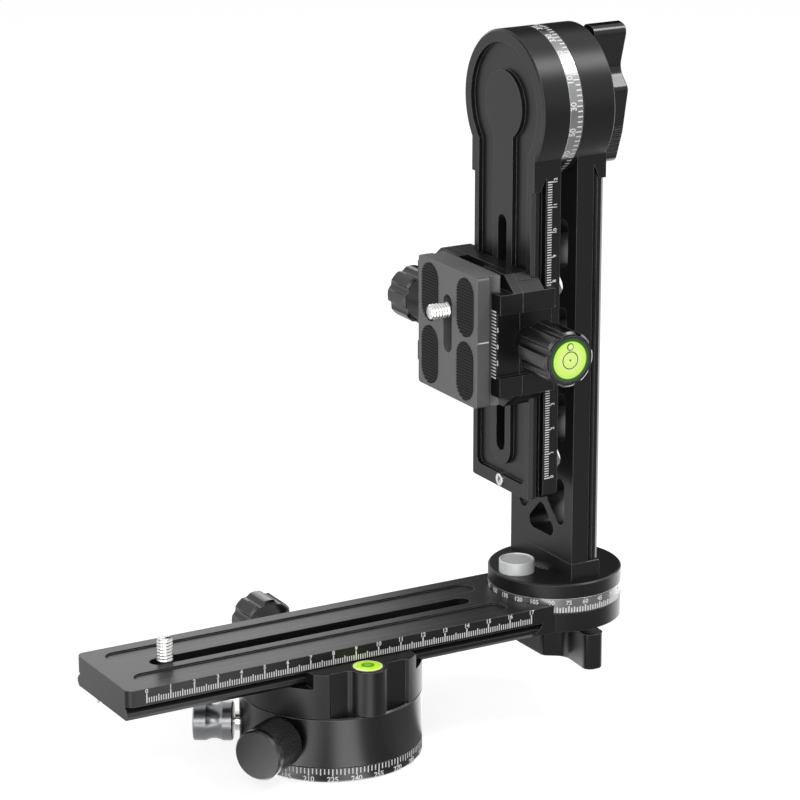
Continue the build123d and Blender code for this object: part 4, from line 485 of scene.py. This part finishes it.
def sliver(width, height, x, y, z):
    """One mark: a thin box, width along X, height along Z, its face towards -Y."""
    bpy.ops.object.select_all(action="DESELECT")
    bpy.ops.mesh.primitive_cube_add(size=1.0, location=(x * MM, y * MM, z * MM),
                                    scale=(width * MM, 2 * PROUD * MM, height * MM))
    return settle(bpy.context.active_object)


def in_a_row(piece, count, step):
    """Repeats a piece along a line; step is in mm."""
    return with_modifier(piece, "ARRAY", count=count, use_relative_offset=False,
                         use_constant_offset=True, constant_offset_displace=Vector(step) * MM)


def round_a_ring(piece, count, degrees):
    """Repeats a piece about the upright axis through its object's origin."""
    bpy.ops.object.empty_add(location=piece.location)
    pivot = bpy.context.active_object
    pivot.rotation_euler.z = math.radians(degrees)
    bpy.context.view_layer.update()
    with_modifier(piece, "ARRAY", count=count, use_relative_offset=False,
                  use_object_offset=True, offset_object=pivot)
    bpy.data.objects.remove(pivot)


def number_mesh(text, height):
    """A number as a thin solid, lying in X and Z with its face towards -Y, its foot at zero."""
    bpy.ops.object.select_all(action="DESELECT")
    bpy.ops.object.text_add(rotation=(math.pi / 2, 0, 0))
    piece = bpy.context.active_object
    piece.data.body = str(text)
    piece.data.align_x = "CENTER"
    piece.data.size = height * MM / DIGIT_SHARE
    piece.data.offset = 0.04 * height * MM
    piece.data.extrude = PROUD * MM
    piece.data.resolution_u = 3
    bpy.ops.object.convert(target="MESH")
    return settle(piece)


def painted(pieces, name, body, turn=(0, 0, 0), place=(0, 0, 0)):
    """Joins the marks of one scale, turns them (degrees), places them (mm) and makes them white."""
    piece = joined(pieces, name)
    piece.rotation_euler = [math.radians(angle) for angle in turn]
    piece.location = Vector(place) * MM
    settle(piece)
    piece.data.materials.clear()
    piece.data.materials.append(engraving_white)
    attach(piece, body)
    print(name, len(piece.data.polygons), "faces")


# %% [markdown]
# ## Rail ruler
# Millimetre marks stand on a line along the near edge of the rail; every fifth is longer and
# every tenth the longest, with its number in centimetres above it. No two marks share a place:
# two faces in one plane would shade each other.

# %% Rail ruler
RULER_FACE, RULER_FOOT, RULER_ZERO, RULER_END = -23.15, 45.0, -91.2, 17


def small_marks(first, groups, step):
    """Repeats the first mark for 1 to 4, then for 6 to 9, and then for every ten."""
    step = Vector(step)
    four = in_a_row(first, 4, step)
    eight = in_a_row(four, 2, 5 * step)
    return in_a_row(eight, groups, 10 * step)


def rail_ruler():
    ones = sliver(0.42, 2.2, RULER_ZERO + 1, RULER_FACE, RULER_FOOT + 1.1)
    marks = [small_marks(ones, RULER_END, (1, 0, 0))]
    fives = sliver(0.44, 2.8, RULER_ZERO + 5, RULER_FACE, RULER_FOOT + 1.4)
    marks.append(in_a_row(fives, RULER_END, (10, 0, 0)))
    tens = sliver(0.52, 3.75, RULER_ZERO, RULER_FACE, RULER_FOOT + 1.875)
    marks.append(in_a_row(tens, RULER_END + 1, (10, 0, 0)))
    for number in range(RULER_END + 1):
        digits = number_mesh(number, 1.7)
        digits.location = Vector((RULER_ZERO + 10 * number, RULER_FACE, RULER_FOOT + 4.0)) * MM
        marks.append(digits)
    painted(marks, "rail_ruler_marks", "rail_body")


rail_ruler()


# %% [markdown]
# ## Swing arm ruler
# A second ruler runs up the near edge of the swing arm, its small numbers turned on their side.

# %% Swing arm ruler
ARM_RULER_ZERO, ARM_RULER_LABELS, ARM_RULER_LEFT = 105.1, 13, 84.0
ARM_RULER_GROUPS = ARM_RULER_LABELS - 1


def arm_ruler():
    ones = sliver(2.0, 0.42, ARM_RULER_LEFT + 1.0, RULER_FACE, ARM_RULER_ZERO + 1)
    marks = [small_marks(ones, ARM_RULER_GROUPS, (0, 0, 1))]
    fives = sliver(2.0, 0.42, ARM_RULER_LEFT + 1.0, RULER_FACE, ARM_RULER_ZERO + 5)
    marks.append(in_a_row(fives, ARM_RULER_GROUPS, (0, 0, 10)))
    tens = sliver(2.6, 0.46, ARM_RULER_LEFT + 1.3, RULER_FACE, ARM_RULER_ZERO)
    marks.append(in_a_row(tens, ARM_RULER_LABELS, (0, 0, 10)))
    for number in range(ARM_RULER_LABELS):
        digits = number_mesh(number, 1.5)
        digits.rotation_euler = (0, math.radians(-90), 0)
        height = ARM_RULER_ZERO + 0.4 + 10 * number
        digits.location = Vector((ARM_RULER_LEFT + 4.2, RULER_FACE, height)) * MM
        marks.append(digits)
    painted(marks, "arm_ruler_marks", "arm_body")


arm_ruler()


# %% [markdown]
# ## Ring scales
# The turning joints carry rings marked in degrees. A ring's numbers are wrapped onto the
# cylinder, so that they don't stand off it at their ends.

# %% Wrapping onto a ring
def wrapped(piece, radius, degrees):
    """Bends a flat piece onto a cylinder about Z and turns it to that angle from +X."""
    for vertex in piece.data.vertices:
        across, depth, up = vertex.co
        angle = math.radians(degrees) + across / (radius * MM)
        reach = radius * MM - depth
        vertex.co = (reach * math.cos(angle), reach * math.sin(angle), up)
    return piece


def ring_marks(radius, width, low, high, first, *rounds):
    """Slivers round a ring about Z, the first at an angle from +X.

    Each of the rounds is (degrees, count) and repeats all the marks made so far.
    """
    marks = wrapped(sliver(width, high - low, 0, 0, (low + high) / 2), radius, first)
    for step, count in rounds:
        round_a_ring(marks, count, step)
    return marks


# %% Base ring, a mark every 2.5 degrees
BASE_RING_RADIUS, BASE_RING_ZERO, BASE_MARKS_TOP = 36.2, 17.5, 5.75     # mm, degrees, mm


def base_ring():
    radius, zero, top = BASE_RING_RADIUS, BASE_RING_ZERO, BASE_MARKS_TOP
    marks = [ring_marks(radius, 0.5, 3.45, top, zero + 2.5, (2.5, 2), (7.5, 48)),
             ring_marks(radius, 0.5, 3.05, top, zero + 7.5, (15, 24)),
             ring_marks(radius, 0.55, 2.75, top, zero, (15, 24))]
    for number in range(0, 360, 15):
        digits = wrapped(number_mesh(number, 2.1), radius, zero + number)
        digits.location.z = 0.4 * MM
        marks.append(digits)
    painted(marks, "pan_scale_marks", "pan_base")


base_ring()


# %% [markdown]
# The marks of the silver rings are white too, and show where the metal mirrors something dark.

# %% Swivel ring
SWIVEL_RING_RADIUS, SWIVEL_AT_NINETY, SWIVEL_MARKS_FOOT = 27.05, 235.5, 0.15    # mm, degrees, mm
SWIVEL_RING_PLACE = (104.0, 0, 47.4)


def swivel_ring():
    radius, at_ninety, foot = SWIVEL_RING_RADIUS, SWIVEL_AT_NINETY, SWIVEL_MARKS_FOOT
    marks = [ring_marks(radius, 0.60, foot, 2.2, at_ninety + 2.5, (5, 72)),
             ring_marks(radius, 0.60, foot, 2.5, at_ninety + 5, (5, 2), (15, 24)),
             ring_marks(radius, 0.66, foot, 2.9, at_ninety, (15, 24))]
    for number in range(0, 360, 15):
        digits = wrapped(number_mesh(number, 1.8), radius, at_ninety + 90 - number)
        digits.location.z = 3.45 * MM
        marks.append(digits)
    painted(marks, "swivel_scale_marks", "upright_body", place=SWIVEL_RING_PLACE)


swivel_ring()


# %% [markdown]
# The tilt ring is made as if it stood upright too, and then laid over, so that its axis points
# along X and its numbers read upwards.

# %% Tilt ring
TILT_RING_RADIUS, TILT_RING_RIM, TILT_AXIS_HEIGHT = 29.4, 95.6, 252.0
TILT_NUMBERED_EVERY = 20    # degrees of the ring


def tilt_ring():
    radius, foot, every = TILT_RING_RADIUS, -TILT_RING_RIM + 0.15, TILT_NUMBERED_EVERY
    marks = [ring_marks(radius, 0.6, foot, -TILT_RING_RIM + 2.3, -68, (-4, 4), (-every, 18)),
             ring_marks(radius, 0.6, foot, -TILT_RING_RIM + 2.9, -64, (-every, 18))]
    for number in range(10, 360, every):
        digits = wrapped(number_mesh(number, 2.5), radius, -54 - number)
        digits.location.z = (-TILT_RING_RIM + 3.0) * MM
        marks.append(digits)
    painted(marks, "tilt_scale_marks", "arm_body", turn=(0, -90, 0),
            place=(0, 0, TILT_AXIS_HEIGHT))


tilt_ring()


# %% [markdown]
# ## Clamp scale
# The lip of the double clamp carries a short scale, and the plate's edge one line that is read
# against it. Both are made facing -Y; the scale is turned to face -X, along the lip's front.

# %% Clamp scale and the plate's index line
LIP_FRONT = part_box("plate_clamp_body")[0][0] / MM
LIP_SCALE_INNER, LIP_SCALE_LOW, LIP_MARKS, LIP_STEP = 20.5, 150.1, 21, 1.326
PLATE_EDGE, PLATE_LINE_HEIGHT = -22.5, 164.6


def clamp_scale():
    first = sliver(3.5, 0.62, LIP_SCALE_INNER + 1.75, LIP_FRONT, LIP_SCALE_LOW)
    marks = [in_a_row(first, LIP_MARKS, (0, 0, LIP_STEP))]
    for number, row in ((5, 5), (0, 10), (5, 15)):
        digits = number_mesh(number, 1.9)
        height = LIP_SCALE_LOW + LIP_STEP * row - 1.2
        digits.location = Vector((LIP_SCALE_INNER + 4.6, LIP_FRONT, height)) * MM
        marks.append(digits)
    painted(marks, "clamp_scale_marks", "arm_clamp", turn=(0, 0, -90))
    # one stroke with a slightly wider foot at the plate's front edge
    line = sliver(5.2, 0.5, 55.7, PLATE_EDGE, PLATE_LINE_HEIGHT)
    foot = sliver(0.6, 0.8, 53.5, PLATE_EDGE, PLATE_LINE_HEIGHT)
    painted([line, foot], "plate_index_line", "plate_body")


clamp_scale()


# %% [markdown]
# ## Screw threads
# The two camera screws have a quarter-inch thread, 20 turns to the inch. CAD leaves it plain, as a
# cylinder. Here the outline of one turn is drawn point by point, and the screw modifier winds it
# up; both ends are then cut flat and closed. The head and neck are a copy of the CAD mesh, cut off
# where the thread begins, so the whole screw is one piece that stands for the CAD node.

# %% One thread
PITCH, ROOT, CREST = 1.27, 2.52, 3.175                  # mm; root and crest are radii
FLANK, CREST_FLAT, ROOT_FLAT = 0.48, 0.18, 0.13         # mm along the screw; one turn in all
WELD, SEAM = 0.002, 0.001                               # mm; points nearer than this are one


def cut_off(piece, point, direction, above=True):
    """Cuts a closed mesh by a plane, drops one side and closes the cut."""
    only(piece)
    bpy.ops.object.mode_set(mode="EDIT")
    bpy.ops.mesh.select_all(action="SELECT")
    bpy.ops.mesh.remove_doubles(threshold=WELD * MM)
    bpy.ops.mesh.normals_make_consistent(inside=False)
    # Points within bisect's threshold count as on the plane, and its usual 0.1 mm is too wide here.
    bpy.ops.mesh.bisect(plane_co=Vector(point) * MM, plane_no=direction, use_fill=True,
                        clear_outer=above, clear_inner=not above, threshold=SEAM * MM)
    bpy.ops.object.mode_set(mode="OBJECT")


def thread(start, end):
    """A thread along Z between two heights, its tip bevelled."""
    bpy.ops.object.select_all(action="DESELECT")
    bpy.ops.mesh.primitive_plane_add(size=0.01 * MM, location=(ROOT * MM, 0, (start - PITCH) * MM))
    piece = settle(bpy.context.active_object)
    bpy.ops.object.mode_set(mode="EDIT")
    bpy.ops.mesh.select_all(action="SELECT")
    bpy.ops.mesh.merge(type="CENTER")
    rise = CREST - ROOT
    for step in ((rise, 0, FLANK), (0, 0, CREST_FLAT), (-rise, 0, FLANK), (0, 0, ROOT_FLAT)):
        bpy.ops.mesh.extrude_region_move(TRANSFORM_OT_translate={"value": Vector(step) * MM})
    bpy.ops.object.mode_set(mode="OBJECT")
    turns = math.ceil((end - start) / PITCH) + 2
    with_modifier(piece, "SCREW", axis="Z", angle=2 * math.pi, screw_offset=PITCH * MM,
                  iterations=turns, steps=32, render_steps=32,
                  use_merge_vertices=True, merge_threshold=SEAM * MM)
    cut_off(piece, (0, 0, end), (0, 0, 1))
    cut_off(piece, (0, 0, start), (0, 0, 1), above=False)
    for vertex in piece.data.vertices:
        reach = math.hypot(vertex.co.x, vertex.co.y)
        allowed = (ROOT + 0.05) * MM + max(0.0, end * MM - vertex.co.z)
        if reach > allowed:
            vertex.co.x *= allowed / reach
            vertex.co.y *= allowed / reach
    return piece


# %% The two camera screws
def threaded_screw(node, body, name, place, turn, start, end, along):
    """Winds a thread from start to end (mm along the screw) and joins it to the CAD head and neck.

    place (mm) and turn (degrees) bring the thread's Z onto the screw, whose direction is along.
    """
    winding = thread(start, end)
    winding.rotation_euler = [math.radians(angle) for angle in turn]
    winding.location = Vector(place) * MM
    settle(winding)
    shank = bpy.data.objects.new(name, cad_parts[node].data.copy())
    bpy.context.collection.objects.link(shank)
    cut_off(shank, Vector(place) + Vector(along) * (start + 0.02), along)
    screw = joined([shank, winding], name)
    screw.data.materials.clear()
    screw.data.materials.append(finishes["steel"])
    screw.data.polygons.foreach_set("material_index", [0] * len(screw.data.polygons))
    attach(screw, body)
    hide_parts(node)
    print(name, len(screw.data.polygons), "faces")


threaded_screw("rail_stud", "rail_stud_body", "threaded_rail_stud",
               (-72.2, 0, 0), (0, 0, 0), 51.1, 60.2, (0, 0, 1))
threaded_screw("plate_camera_screw", "plate_screw", "threaded_plate_screw",
               (0, 0, 173.0), (0, -90, 0), -52.7, -45.0, (-1, 0, 0))


# %% [markdown]
# ## The bubble
# The bubble of the knob's level rests at the top of its cap, just above the ring mark.
# It is a shallow dome of clear air; its dark outline is painted shade, where light bends away at
# its curved edge, and it has the liquid's small painted glow.

# %% Bubble of the knob's level
BUBBLE_RADIUS, BUBBLE_FLATNESS, BUBBLE_RISE = 1.55, 0.22, 5.3   # mm, share, mm above the middle
BUBBLE_DEPTH, BUBBLE_CUT = 0.16, 0.19       # mm behind the face: its middle, and where it is cut


def bubble():
    height = KNOB_LEVEL[2] + BUBBLE_RISE
    bpy.ops.object.select_all(action="DESELECT")
    bpy.ops.mesh.primitive_uv_sphere_add(
        segments=32, ring_count=16, radius=BUBBLE_RADIUS * MM,
        rotation=(math.pi / 2, 0, 0), scale=(1, 1, BUBBLE_FLATNESS),
        location=Vector((KNOB_LEVEL[0], KNOB_LEVEL_FACE + BUBBLE_DEPTH, height)) * MM)
    piece = settle(bpy.context.active_object)
    cut_off(piece, (0, KNOB_LEVEL_FACE + BUBBLE_CUT, 0), (0, 1, 0))
    bpy.ops.object.shade_smooth()
    piece.name = "level_bubble"
    # the dark outer ring is painted shade round the bubble's edge
    rings = [(0.0, "#f2ffd8"), (0.8, "#dff5a0"), (1.1, "#bfe25c"), (1.25, "#1d3a08"),
             (BUBBLE_RADIUS, "#1d3a08")]
    glass = level_glass("clear_bubble", (KNOB_LEVEL[0], 0, height), BUBBLE_RADIUS, rings, True)
    piece.data.materials.append(glass)
    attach(piece, "arm_knob")
    print("bubble", len(piece.data.polygons), "faces")


bubble()


# %% [markdown]
# ## The button's spring
# Under the button sits a coil spring, which CAD shows as a plain tube. A circle the size of the
# wire is wound up by the screw modifier, and its ends are closed. It shortens as the button goes
# down.

# %% Coil spring under the button
SPRING_MEAN, SPRING_WIRE, SPRING_TURNS, BUTTON_X = 3.65, 0.4, 6, 86.0


def coil_spring(low, high, mean, wire, turns, x):
    """A spring about an upright axis at x, between two heights; mean and wire are radii, in mm."""
    bpy.ops.object.select_all(action="DESELECT")
    bpy.ops.mesh.primitive_circle_add(vertices=10, radius=wire * MM, rotation=(math.pi / 2, 0, 0),
                                      location=(mean * MM, 0, (low + wire) * MM))
    piece = settle(bpy.context.active_object)
    with_modifier(piece, "SCREW", axis="Z", angle=2 * math.pi,
                  screw_offset=(high - low - 2 * wire) / turns * MM,
                  iterations=turns, steps=24, render_steps=24)
    only(piece)
    bpy.ops.object.mode_set(mode="EDIT")
    bpy.ops.mesh.select_all(action="SELECT")
    bpy.ops.mesh.remove_doubles(threshold=SEAM * MM)
    bpy.ops.mesh.fill_holes(sides=12)
    bpy.ops.mesh.normals_make_consistent(inside=False)
    bpy.ops.object.mode_set(mode="OBJECT")
    bpy.ops.object.shade_smooth_by_angle(angle=math.radians(40))
    piece.location.x = x * MM
    return settle(piece)


spring_low, spring_high = (corner[2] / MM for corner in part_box("button_spring"))
spring = coil_spring(spring_low, spring_high, SPRING_MEAN, SPRING_WIRE, SPRING_TURNS, BUTTON_X)
spring.name = "button_coil_spring"
spring.data.materials.append(finishes["steel"])
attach(spring, "upright_body")
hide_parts("button_spring")
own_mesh(spring)
print("spring from", round(spring_low, 2), "to", round(spring_high, 2), "mm")
